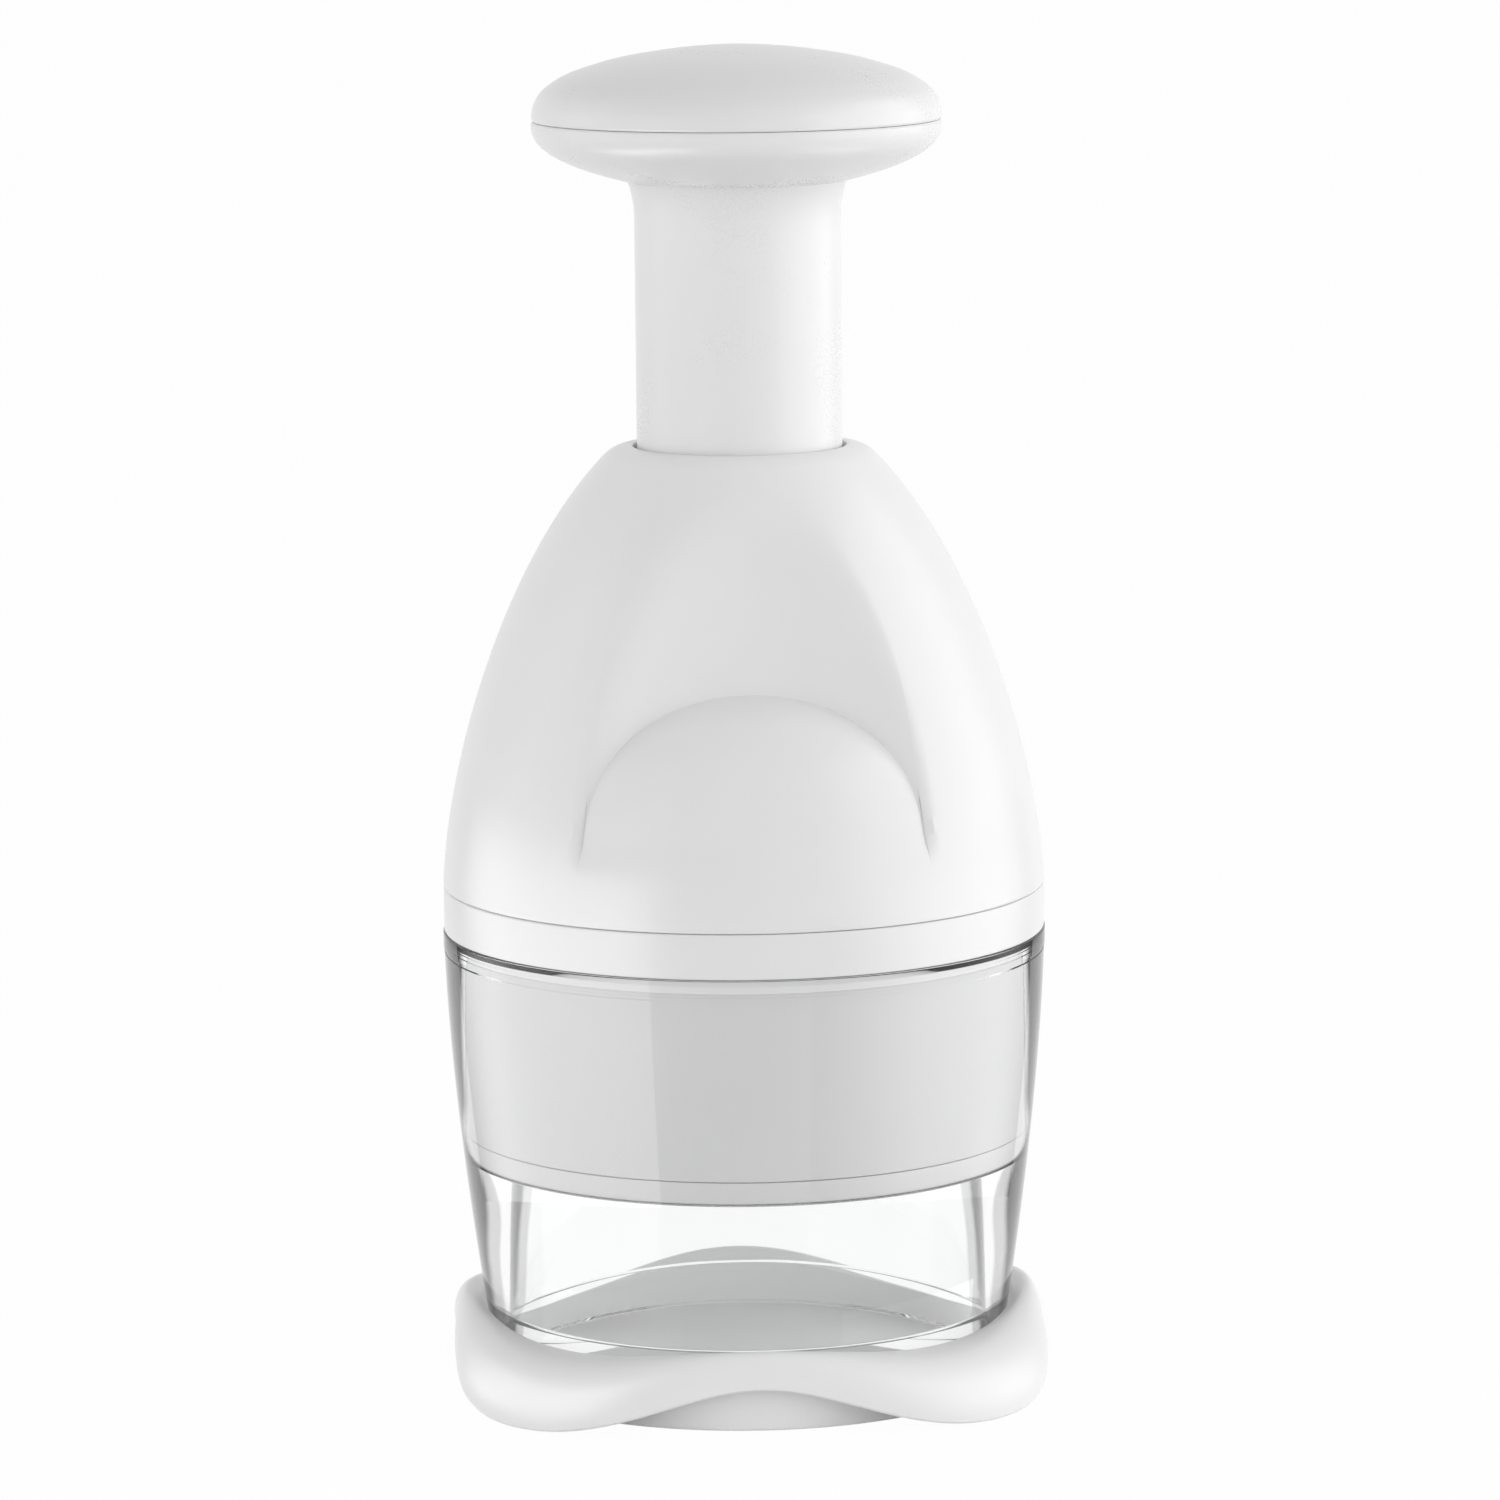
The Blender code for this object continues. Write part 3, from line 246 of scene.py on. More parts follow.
def clear_moulding(name):
    """Clear plastic with soft flow marks. Where its thick wall is seen edge on, a painted dark edge and grey
    streak stand in for a refracted dark room.
    """
    material, tree, shader = shader_tree(name)
    where = places(tree)
    flow = noise(tree, where, scale=30.0)
    facing = tree.node("ShaderNodeLayerWeight", {}, {"Blend": 0.5}, 1)
    height = tree.node("ShaderNodeSeparateXYZ", {}, {0: where}, 2)
    edge_on = (1 - (1 - facing) ** 2) ** 0.5
    outer = drawn_curve(tree, height / cup_high, CUP_PAINTED_EDGE_LINE)
    inner = drawn_curve(tree, height / cup_high, CUP_PAINTED_STREAK_LINE)
    # Painted shade: deep darkens the wall near its outline, and the streak greys it a little further in
    deep = soft_step(tree, edge_on, outer - CUP_PAINTED_EDGE_BLUR, outer + CUP_PAINTED_EDGE_BLUR)
    painted_streak = soft_step(tree, edge_on, inner - CUP_PAINTED_STREAK_BLUR, inner + CUP_PAINTED_STREAK_BLUR)
    with_painted_streak = tree.blend(painted_streak * CUP_PAINTED_STREAK_SHARE, tree.blend(flow, *CUP_THIN_TINTS), CUP_PAINTED_STREAK_SHADE)
    tree.connect(tree.blend(deep, with_painted_streak, CUP_PAINTED_EDGE_SHADE), shader, "Base Color")
    tree.connect(0.003 + flow * 0.005, shader, "Roughness")
    add_bump(tree, shader, flow, strength=0.03, distance=0.0004)
    shader.inputs["IOR"].default_value = CLEAR_IOR
    shader.inputs["Transmission Weight"].default_value = 1.0
    return material


def drawn_curve(tree, value, points):
    """A smooth curve through points, read at a value. Its two ends are the first two points."""
    curve = tree.node("ShaderNodeFloatCurve", {}, {"Value": value})
    mapping = curve.socket.node.mapping
    line = mapping.curves[0]
    for index, (place, level) in enumerate(points):
        point = line.points[index] if index < 2 else line.points.new(place, level)
        point.location = (place, level)
    mapping.update()
    return curve


def soft_step(tree, value, start, end):
    """0 before start, 1 after end and a smooth step between."""
    kind = {"interpolation_type": "SMOOTHSTEP"}
    return tree.node("ShaderNodeMapRange", kind, {"Value": value, "From Min": start, "From Max": end})


def brushed_steel(name, tone, roughness, stretch):
    """Steel with fine lines; the pattern is squeezed along the two directions across them."""
    material, tree, shader = shader_tree(name)
    where = places(tree)
    drawn = tree.node("ShaderNodeMapping", {}, {"Vector": where, "Scale": stretch})
    lines = noise(tree, drawn, scale=1.0, detail=4.0, roughness=0.6)
    cloud = noise(tree, where, scale=120.0)
    tree.connect(tree.blend(lines, toned(tone, 0.86), toned(tone, 1)), shader, "Base Color")
    tree.connect(roughness + lines * 0.12 + cloud * 0.06, shader, "Roughness")
    add_bump(tree, shader, lines, strength=0.12, distance=0.0001)
    shader.inputs["Metallic"].default_value = 1.0
    return material


def soft_rubber(name, tone):
    """Matt rubber with a fine tooth."""
    material, tree, shader = shader_tree(name)
    where = places(tree)
    cloud = noise(tree, where, scale=60.0, detail=3.0)
    fine = noise(tree, where, scale=1800.0)
    tree.connect(tree.blend(cloud, toned(tone, 0.9), toned(tone, 1)), shader, "Base Color")
    tree.connect(0.62 + fine * 0.2, shader, "Roughness")
    add_bump(tree, shader, fine, strength=0.2, distance=0.0002)
    return material


# Making pieces


def in_scene(name, data):
    """A new object in the scene."""
    made = bpy.data.objects.new(name, data)
    bpy.context.scene.collection.objects.link(made)
    return made


def standing(across, up, back, place):
    """Where a camera or a lamp stands, by its own three directions."""
    turn = Matrix((across, up, back)).transposed().to_4x4()
    turn.translation = place
    return turn


def fill_mesh(mesh, builder):
    """Put a bmesh into a mesh: doubles merged, faces out, round faces smooth."""
    bmesh.ops.remove_doubles(builder, verts=builder.verts, dist=DOUBLE_DISTANCE)
    bmesh.ops.recalc_face_normals(builder, faces=builder.faces)
    builder.to_mesh(mesh)
    builder.free()
    smooth_faces(mesh)


def smooth_faces(mesh):
    mesh.shade_smooth()
    mesh.set_sharp_from_angle(angle=SOFT_ANGLE)


def new_piece(name, builder, material):
    mesh = bpy.data.meshes.new(name)
    fill_mesh(mesh, builder)
    mesh.materials.append(material)
    return in_scene(name, mesh)


def fillet(before, corner, after, radius, steps):
    """Points on the arc that rounds the corner between two other points."""
    back, ahead = (before - corner).normalized(), (after - corner).normalized()
    half = back.angle(ahead) / 2
    centre = corner + (back + ahead).normalized() * (radius / sin(half))
    start = corner + back * (radius / tan(half)) - centre
    end = corner + ahead * (radius / tan(half)) - centre
    return [centre + start.slerp(end, step / steps).normalized() * radius for step in range(steps + 1)]


def rounded(corners, steps=4):
    """The points of a closed outline with corners (radius, height, fillet in tenths of a millimetre)."""
    spots = [Vector(corner[:2]) for corner in corners]
    points = []
    for index, (spot, corner) in enumerate(zip(spots, corners)):
        if corner[2]:
            after = spots[(index + 1) % len(spots)]
            radius = corner[2] * TENTH
            points += [tuple(point) for point in fillet(spots[index - 1], spot, after, radius, steps)]
        else:
            points.append(tuple(spot))
    return points


def turned(name, outline, steps, material):
    """A closed outline of (radius, height) turned about Z. Points on the axis become poles."""
    builder = bmesh.new()
    turns = [2 * pi * (step + 0.5) / steps for step in range(steps)]
    rings = []
    for across, height in outline:
        if across < POLE_RADIUS:
            rings.append([builder.verts.new((0, 0, height))])
        else:
            rings.append([builder.verts.new((across * cos(a), across * sin(a), height)) for a in turns])
    close_rings(builder, rings)
    return new_piece(name, builder, material)


def close_rings(builder, rings):
    """Faces between rings of points, from the last ring back to the first unless both are poles."""
    pairs = list(zip(rings, rings[1:]))
    if len(rings[0]) > 1 or len(rings[-1]) > 1:
        pairs.append((rings[-1], rings[0]))
    join_rings(builder, pairs)


def join_rings(builder, pairs):
    for first, second in pairs:
        count = max(len(first), len(second))
        if count == 1:
            continue
        for index in range(count):
            after = (index + 1) % count
            corners = [first[index % len(first)], first[after % len(first)]]
            corners += [second[after % len(second)], second[index % len(second)]]
            builder.faces.new([c for place, c in enumerate(corners) if c not in corners[:place]])


def group_with(name, inputs):
    """A geometry node group with a mesh in and out and the named inputs, its tree and its input node."""
    group = bpy.data.node_groups.new(name, "GeometryNodeTree")
    face = group.interface
    face.new_socket("Geometry", in_out="INPUT", socket_type="NodeSocketGeometry")
    for label, kind in inputs:
        face.new_socket(label, in_out="INPUT", socket_type=f"NodeSocket{kind}")
    face.new_socket("Geometry", in_out="OUTPUT", socket_type="NodeSocketGeometry")
    tree = Tree(group)
    return group, tree, tree.node("NodeGroupInput")


def finish_group(tree, given, shape):
    whole = tree.node("GeometryNodeRealizeInstances", {}, {"Geometry": shape})
    coat = {"Geometry": whole, "Material": given.other("Material")}
    tree.node("NodeGroupOutput", {}, {"Geometry": tree.node("GeometryNodeSetMaterial", {}, coat)})


def applied(piece, modifier):
    """The plain mesh that a piece's modifier gives. The modifier goes."""
    piece.update_tag()
    graph = bpy.context.evaluated_depsgraph_get()
    mesh = bpy.data.meshes.new_from_object(piece.evaluated_get(graph))
    piece.modifiers.remove(modifier)
    piece.data = mesh
    return mesh


def grown(piece, group, values):
    """Give a piece the mesh that geometry nodes make of it, with the named inputs set."""
    modifier = piece.modifiers.new("shape", "NODES")
    modifier.node_group = group
    for socket in group.interface.items_tree:
        if socket.item_type == "SOCKET" and socket.in_out == "INPUT" and socket.name in values:
            modifier[socket.identifier] = values[socket.name]
    applied(piece, modifier).name = piece.name


def settled(piece):
    """Doubles merged, faces out and round faces smooth, on a piece that geometry nodes made."""
    builder = bmesh.new()
    builder.from_mesh(piece.data)
    fill_mesh(piece.data, builder)


def cup_radius_at(height):
    depth_share = min(1, max(0, (cup_high - height) / (cup_high - cup_low)))
    return CUP_RIM_RADIUS - CUP_TAPER * depth_share ** CUP_TAPER_SHAPE


# The wavy base: a section at a lobe, with what the arches change at each of its points

LIP_START = 0.0004  # how far out from the cup the lip begins to rise
LIP_STEPS = 8
SKIRT_STEPS = 18
UNDER_SKIRT_STEPS = 10
LOBE_CREST = 0.0016  # how far out from the cup the rim is highest, at a lobe and at an arch
ARCH_CREST = 0.0024
LOBE_LIP_RISE = 0.0004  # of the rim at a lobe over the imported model's
ARCH_MOUTH_RISE = 0.0020
SKIRT_EDGE = [(0.0001, 0.0004), (0.0004, 0.0001), (0.0007, 0)]  # in from the skirt, up from its foot
SKIRT_INNER_EDGE = [(0.0005, 0), (0.0001, 0.0002), (0, 0.0005)]  # out from the skirt's inside, up
FLOOR_FLAT_RADIUS = 0.030
DRUM_TOP = 0.0090


def skirt_section(skirt, low, rim, mouth, crest):
    """From the cup over the rim, down the skirt and up its inside to the drum, at a lobe or an arch."""
    bore = cup_radius_at(mouth) + FIT
    edge = low + BASE_EDGE_HEIGHT
    points = [(bore, mouth - LIP_START), (bore + 1.2 * BREAK, mouth - BREAK)]
    for step in range(1, LIP_STEPS):
        across = LIP_START + (crest - LIP_START) * step / LIP_STEPS
        points.append((bore + across, mouth + (rim - mouth) * sin(pi / 2 * step / LIP_STEPS)))
    out = bore + crest
    for step in range(1, SKIRT_STEPS + 1):
        turn = pi / 2 * step / SKIRT_STEPS
        points.append((out + (skirt - out) * sin(turn), edge + (rim - edge) * cos(turn)))
    points += [(skirt - inward, low + up) for inward, up in SKIRT_EDGE]
    inner = skirt - BASE_WALL
    points += [(inner + outward, low + up) for outward, up in SKIRT_INNER_EDGE]
    roof = rim - BASE_WALL
    for step in range(UNDER_SKIRT_STEPS - 1, 0, -1):
        turn = pi / 2 * step / UNDER_SKIRT_STEPS
        points.append((DRUM_RADIUS + (inner - DRUM_RADIUS) * sin(turn), edge + (roof - edge) * cos(turn)))
    points.append((DRUM_RADIUS, roof))
    return points


def base_section():
    """Points (radius, height, how far in at an arch, how far up at an arch) of a section through a lobe."""
    lobe_rim = RIM_LOBE_HEIGHT + LOBE_LIP_RISE
    lobe = skirt_section(BASE_LOBE_RADIUS, GAP, lobe_rim, RIM_LOBE_HEIGHT + BREAK, LOBE_CREST)
    mouth = RIM_LOBE_HEIGHT + ARCH_MOUTH_RISE
    arch = skirt_section(BASE_ARCH_RADIUS, BASE_ARCH_HEIGHT, RIM_ARCH_HEIGHT, mouth, ARCH_CREST)
    foot = cup_radius_at(cup_low)
    floor = [(0, FLOOR_TOP), (FLOOR_FLAT_RADIUS, FLOOR_TOP), (foot + 2 * BREAK, FLOOR_TOP)]
    floor.append((foot + FIT, FLOOR_TOP + 2 * BREAK))
    seat = PAD_THICKNESS + GAP
    under = FLOOR_TOP - FLOOR_THICKNESS
    below = rounded([
        (DRUM_RADIUS, DRUM_TOP, 0),
        (DRUM_RADIUS, GAP, 6),
        (PAD_RADIUS + GAP, GAP, 4),
        (PAD_RADIUS + GAP, seat, 0),
        (PAD_RADIUS - DRUM_WALL, seat, 0),
        (PAD_RADIUS - DRUM_WALL, under, 0),
        (PAD_RING_RADIUS + DRUM_WALL, under, 0),
        (PAD_RING_RADIUS + DRUM_WALL, seat, 0),
        (PAD_RING_RADIUS, seat, 0),
        (PAD_RING_RADIUS, under, 0),
        (0, under, 0),
    ])
    pairs = zip(floor + lobe + below, floor + arch + below)
    return [(at[0], at[1], at[0] - there[0], there[1] - at[1]) for at, there in pairs]


def wave_tree():
    """Geometry nodes that draw a turned base in and up at its arches, by (1 + cos(lobes x angle)) / 2."""
    inputs = [("Lobes", "Float"), ("Arch shape", "Float"), ("Material", "Material")]
    group, tree, given = group_with("wavy_base", inputs)
    parts = tree.node("ShaderNodeSeparateXYZ", {}, {0: tree.node("GeometryNodeInputPosition")})
    angle = tree.math("ARCTAN2", parts.other("Y"), parts)
    wave = (tree.math("COSINE", angle * given.other("Lobes")) + 1) / 2
    inward, upward = [
        tree.node("GeometryNodeInputNamedAttribute", {"data_type": "FLOAT"}, {"Name": name})
        for name in ("arch_in", "arch_up")
    ]
    step_in = -(wave * inward)
    across = step_in * tree.math("COSINE", angle)
    along = step_in * tree.math("SINE", angle)
    rise = wave ** given.other("Arch shape") * upward
    move = tree.node("ShaderNodeCombineXYZ", {}, {"X": across, "Y": along, "Z": rise})
    finish_group(tree, given, tree.node("GeometryNodeSetPosition", {}, {"Geometry": given, "Offset": move}))
    return group


def make_base(material):
    """The wavy base, turned with a lobe's section all round and then drawn in and up at its arches."""

    def spot(across, height):
        return round(across * 1e6), round(height * 1e6)

    section = base_section()
    base = turned("base_shell", [point[:2] for point in section], BASE_STEPS, material)
    moves = {spot(across, height): (inward, upward) for across, height, inward, upward in section}
    mesh = base.data
    arch_in = mesh.attributes.new("arch_in", "FLOAT", "POINT")
    arch_up = mesh.attributes.new("arch_up", "FLOAT", "POINT")
    for vertex in mesh.vertices:
        here = spot(sqrt(vertex.co.x ** 2 + vertex.co.y ** 2), vertex.co.z)
        if here not in moves:
            nearest = min(moves, key=lambda other: (other[0] - here[0]) ** 2 + (other[1] - here[1]) ** 2)
            moves[here] = moves[nearest]
        arch_in.data[vertex.index].value, arch_up.data[vertex.index].value = moves[here]
    grown(base, wave_tree(), {"Lobes": float(BASE_LOBES), "Arch shape": ARCH_SHAPE, "Material": material})
    smooth_faces(base.data)
    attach(base, "base")
    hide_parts("base_cover")


def make_foot_pad(material):
    outline = rounded([(0, 0, 0), (PAD_RADIUS, 0, 5), (PAD_RADIUS, PAD_THICKNESS, 3), (0, PAD_THICKNESS, 0)])
    pad = turned("foot_pad_soft", outline, SMALL_STEPS, material)
    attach(pad, "base")
    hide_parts("foot_pad")


# The cup and the housing in it

CUP_LIP_RADIUS = 0.05118
CUP_LIP_DEPTH = 0.0029  # of the bead's foot below the mouth
CUP_NECK_DEPTH = 0.0036
CUP_NECK = 0.00025  # how far in from the wall the groove under the bead is
CUP_FOOT_BREAK = 0.0004
CUP_WALL_STEPS = 40
MOUTH_CHAMFER = 0.0009  # inside the cup's mouth
MOUTH_CHAMFER_DEPTH = 0.0016
CHAMBER_DRAFT = 0.0006
COLLAR_DEPTH = 0.0027  # of the sleeve's collar below the cup's mouth
COLLAR_STEP = 0.0002


def make_cup(material):
    """The clear cup: a thick wall, a ledge inside, a chamber with a little draft and a beaded mouth."""
    neck_low, neck_high = cup_high - CUP_NECK_DEPTH, cup_high - CUP_LIP_DEPTH
    wall_low = cup_low + CUP_FOOT_BREAK
    outline = [(cup_radius_at(cup_low) - CUP_FOOT_BREAK, cup_low), (cup_radius_at(cup_low), wall_low)]
    for step in range(1, CUP_WALL_STEPS + 1):
        height = wall_low + (neck_low - wall_low) * step / CUP_WALL_STEPS
        outline.append((cup_radius_at(height) - BREAK, height))
    neck = cup_radius_at(neck_low) - CUP_NECK
    outline += [(neck, neck_low + 2 * BREAK), (neck, neck_high)]
    bore = SLEEVE_RADIUS + FIT
    rim = rounded([
        (CUP_LIP_RADIUS, neck_high + BREAK, 2),
        (CUP_LIP_RADIUS, cup_high, 2.5),
        (bore + MOUTH_CHAMFER, cup_high, 4),
        (bore, cup_high - MOUTH_CHAMFER_DEPTH, 6),
        (bore, LEDGE_HEIGHT, 5),
        (CHAMBER_RADIUS, LEDGE_HEIGHT, 8),
        (CHAMBER_RADIUS - CHAMBER_DRAFT, cup_low, 5),
    ], steps=8)
    cup = turned("cup_wall", outline + rim, ROUND_STEPS, material)
    cup.visible_shadow = False
    cup.visible_diffuse = False
    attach(cup, "cup")
    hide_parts("clear_cup")


def make_blade_housing(band_finish, sleeve_painted_shade):
    """The band between cup and bell, the sleeve below it with its collar, and the inner flange; the sleeve is
    painted darker as shade.
    """
    bore = SLEEVE_RADIUS - SLEEVE_WALL
    band_low = cup_high + BREAK
    collar_low = cup_high - COLLAR_DEPTH
    collar = SLEEVE_RADIUS + COLLAR_STEP
    outline = rounded([
        (BELL_RADIUS, band_low, 3),
        (BELL_RADIUS, band_high, 3),
        (FLANGE_BORE, band_high, 4),
        (FLANGE_BORE, band_high - FLANGE_THICKNESS, 4),
        (bore, band_high - FLANGE_THICKNESS, 6),
        (bore, SLEEVE_LOW, 3),
        (SLEEVE_RADIUS, SLEEVE_LOW, 2),
        (SLEEVE_RADIUS, collar_low - BREAK, 0),
        (collar, collar_low, 1),
        (collar, band_low, 4),
    ], steps=5)
    housing = turned("housing_ring", outline, ROUND_STEPS, band_finish)
    housing.data.materials.append(sleeve_painted_shade)
    # Painted shade: below the collar the same white plastic is painted darker, for the shade under the band
    # and inside the cup
    for face in housing.data.polygons:
        face.material_index = int(face.center.z < collar_low - BREAK / 2)
    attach(housing, "housing")
    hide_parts("blade_housing")


def make_guard_ring(material):
    """The ring at the sleeve's foot, with the neck that reaches up into the sleeve."""
    low, high = LEDGE_HEIGHT + GAP, SLEEVE_LOW - BREAK
    outline = rounded([
        (GUARD_BORE, low, 8),
        (SLEEVE_RADIUS, low, 5),
        (SLEEVE_RADIUS, high, 2),
        (GUARD_NECK_RADIUS, high, 0),
        (GUARD_NECK_RADIUS, GUARD_HIGH, 3),
        (GUARD_BORE, GUARD_HIGH, 3),
    ])
    # The ring takes the sleeve's painted shade
    ring = turned("sleeve_foot_ring", outline, ROUND_STEPS, material)
    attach(ring, "housing")
    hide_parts("guard_ring")


# The bell: one radius for each direction and height, with a finger scoop at the front and the back

SCOOP_RADIUS = 0.0600
SCOOP_CENTRE = 0.0925  # from the axis, at SCOOP_LEVEL
SCOOP_LEVEL = 0.103
SCOOP_LEAN = 0.08
DOME_CENTRE = 0.0310
DOME_WIDE = 0.0335
DOME_DEEP = 0.0196
DOME_TALL = 0.0290
DOME_RISE = 0.0071  # of the dome's middle above the bell's foot
dome_height = bell_low + DOME_RISE
SCOOP_FOOT = (0.0082, 0.0134)  # the heights above the bell's foot between which the scoop fades in
SOFT_EDGE_SPAN = (0.004, 0.016)  # and between which its edges turn soft
SHARP_BLEND = 0.0006  # how wide the edges are blended at the foot, and what is added above
SOFT_BLEND = 0.0034
OPEN_REACH = 1.0  # farther out than any wall: no scoop there
TOP_ROUND = 0.0020  # how far down the bell's top edge starts to round off
TOP_STEPS = 11
MOUTH_BREAK = 0.0004
MOUTH_LIP = 0.0013  # thickness of the lip over the bush
BUSH_POCKET_DEPTH = 0.0100
POCKET_STEP = 0.0018
LEANING_WALL = BELL_WALL * 1.15  # the wall measured level, where the bell leans
POCKET_WALL = 0.002
CREASE_REACH = 0.045  # from the axis to the crease, about
FOOT_ROWS = 25
SCOOP_ROWS = 81
COLUMNS = 91
FINE_COLUMNS = 1801  # that the columns are picked from
HALVINGS = 40


def eased(value, span):
    """0 below a span, 1 above it and a smooth step between."""
    share = np.clip((value - span[0]) / (span[1] - span[0]), 0, 1)
    return share * share * (3 - 2 * share)


def bell_profile(height):
    rise = np.maximum(0, height - bell_low) / BELL_CURVE_HEIGHT
    return BELL_RADIUS * np.sqrt(1 - rise ** BELL_CURVE_SHAPE)


def scoop_reach(turn, height):
    """How far from the axis the scoop's leaning round floor is, at an angle from the scoop's middle."""
    centre = SCOOP_CENTRE - SCOOP_LEAN * (height - SCOOP_LEVEL)
    inside = SCOOP_RADIUS ** 2 - (centre * np.sin(turn)) ** 2
    reach = centre * np.cos(turn) - np.sqrt(np.maximum(inside, 0))
    return np.where((inside > 0) & (np.cos(turn) > 0), reach, OPEN_REACH)


def dome_reach(turn, height):
    """How far from the axis the dome under the scoop is, or 0 beside and above it."""
    rise = np.maximum(height - dome_height, 0) / DOME_TALL
    wide, deep = np.sin(turn) / DOME_WIDE, np.cos(turn) / DOME_DEEP
    a = wide ** 2 + deep ** 2
    b = -deep * DOME_CENTRE / DOME_DEEP
    c = (DOME_CENTRE / DOME_DEEP) ** 2 + rise ** 2 - 1
    inside = b * b - a * c
    return np.where((inside > 0) & (np.cos(turn) > 0), (-b + np.sqrt(np.maximum(inside, 0))) / a, 0.0)


def soft_least(first, second, blend):
    near = np.maximum(blend - np.abs(first - second), 0) / blend
    return np.minimum(first, second) - near ** 2 * blend / 4


def bell_reach(turn, height):
    """The bell's outside. turn is measured from the middle of the nearer scoop."""
    plain = bell_profile(height)
    hollow = np.maximum(scoop_reach(turn, height), dome_reach(turn, height))
    blend = SHARP_BLEND + SOFT_BLEND * eased(height - bell_low, SOFT_EDGE_SPAN)
    cut = soft_least(plain, hollow, blend)
    return plain + (cut - plain) * eased(height - bell_low, SCOOP_FOOT)


def crease_height(turn):
    """Where the scoop's floor meets the dome, at an angle from the scoop's middle."""
    low, high = dome_height, dome_height + DOME_TALL
    if scoop_reach(turn, low) > dome_reach(turn, low):
        return low
    for _ in range(HALVINGS):
        middle = (low + high) / 2
        if scoop_reach(turn, middle) < dome_reach(turn, middle):
            low = middle
        else:
            high = middle
    return low


def scoop_columns():
    """Angles on one side of a scoop's middle, closer where the crease is steep, and its heights there."""
    turns = np.linspace(0, pi / 2, FINE_COLUMNS)
    heights = np.array([crease_height(turn) for turn in turns])
    steps = np.hypot(np.diff(turns) * CREASE_REACH, np.diff(heights))
    length = np.concatenate([[0], np.cumsum(steps)])
    picked = np.interp(np.linspace(0, length[-1], COLUMNS), length, turns)
    return picked, np.array([crease_height(turn) for turn in picked])


def make_bell(material):
    """The bell: rows of points up its inside, round its foot, up its outside and down into its mouth."""
    half, crease = scoop_columns()
    turns = np.concatenate([-half[:0:-1], half[:-1]])
    lows = np.concatenate([crease[:0:-1], crease[:-1]])
    angles = np.concatenate([turns - pi / 2, turns + pi / 2])
    top_edge = bell_high - TOP_ROUND
    foot, hem = bell_low + 2 * BREAK, bell_low - 2 * BREAK
    rows = [foot + (lows - foot) * share for share in np.linspace(0, 1, FOOT_ROWS)]
    rows += [lows + (top_edge - lows) * share for share in np.linspace(0, 1, SCOOP_ROWS)[1:]]
    grid = np.array(rows)
    reach = bell_reach(turns[None, :], grid)
    mouth = TUBE_RADIUS + FIT + GAP
    pocket = TUBE_RADIUS + FIT + BUSH_WALL + GAP
    builder = bmesh.new()

    def ring(radii, heights):
        """A ring of points. Each half of it, round one scoop, has the same radii and heights."""
        radii, heights = [np.tile(values + np.zeros(len(turns)), 2) for values in (radii, heights)]
        return [builder.verts.new((r * cos(a), r * sin(a), h)) for r, a, h in zip(radii, angles, heights)]

    inner = np.maximum(reach - LEANING_WALL, pocket + POCKET_WALL)
    sparse = list(zip(inner, grid))[:-6:4]  # every fourth row, and none near the top
    inside = [ring(radii, heights - BREAK) for radii, heights in sparse][::-1] + [ring(inner[0], hem)]
    outside = [ring(reach[0] - 3 * BREAK, hem), ring(reach[0] - BREAK, hem + BREAK)]
    outside += [ring(radii, heights) for radii, heights in zip(reach, grid)]
    edge = reach[-1]
    crown = edge - (reach[-2] - edge) / (grid[-1] - grid[-2]) * TOP_ROUND
    top = []
    for step in range(1, TOP_STEPS):
        t = step / TOP_STEPS
        radii = edge * (1 - t) ** 2 + crown * 2 * t * (1 - t) + (mouth + MOUTH_BREAK) * t * t
        top.append(ring(radii, top_edge + TOP_ROUND * (2 * t - t * t)))
    steps = [
        (mouth + MOUTH_BREAK, 0),
        (mouth + BREAK, BREAK),
        (mouth, MOUTH_BREAK),
        (mouth, MOUTH_LIP),
        (pocket, MOUTH_LIP),
        (pocket, BUSH_POCKET_DEPTH),
        (pocket + POCKET_STEP, BUSH_POCKET_DEPTH),
    ]
    collar = [ring(radius, bell_high - depth) for radius, depth in steps]
    close_rings(builder, inside + outside + top + collar)
    bell = new_piece("bell_shell", builder, material)
    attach(bell, "bell")
    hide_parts("bell_housing")


def make_bush(material):
    low, high = (corner.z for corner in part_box("collar_bush"))
    bore = TUBE_RADIUS + FIT
    out = bore + BUSH_WALL
    outline = rounded([(bore, low, 4), (out, low, 2), (out, high, 2), (bore, high, 5)])
    bush = turned("tube_bush", outline, SMALL_STEPS, material)
    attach(bush, "bell")
    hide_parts("collar_bush")


# The knob and the tube

# The cap's profile as shares of its radius and height
KNOB_PROFILE = [
    (0, 1), (0.14, 0.991), (0.28, 0.958), (0.40, 0.914), (0.52, 0.86), (0.62, 0.80), (0.72, 0.72),
    (0.80, 0.645), (0.866, 0.56), (0.922, 0.455), (0.955, 0.37), (0.978, 0.27), (0.993, 0.16), (0.998, 0.03),
]
KNOB_HOLLOW = [(1, 0), (1, 0.3), (0.75, 0.55), (0.4, 0.75), (0, 0.8)]  # of its inside
KNOB_SEAM_STEP = 0.0003
SHELL_DEPTH = 0.0101  # of the knob's lower shell
SHELL_STEPS = 32
SHELL_SHAPE = 0.4
NECK_FLARE = 0.0010  # of the tube under the knob
# Out from the tube and down from the shell
NECK_POINTS = [(0, 0.0060), (0.0001, 0.0040), (0.00045, 0.0022), (0.0007, 0.0010), (NECK_FLARE, 0.0003)]
NECK_DEPTH = 0.0200
TUBE_FLANGE = 0.0042
TUBE_FLANGE_THICKNESS = 0.0025


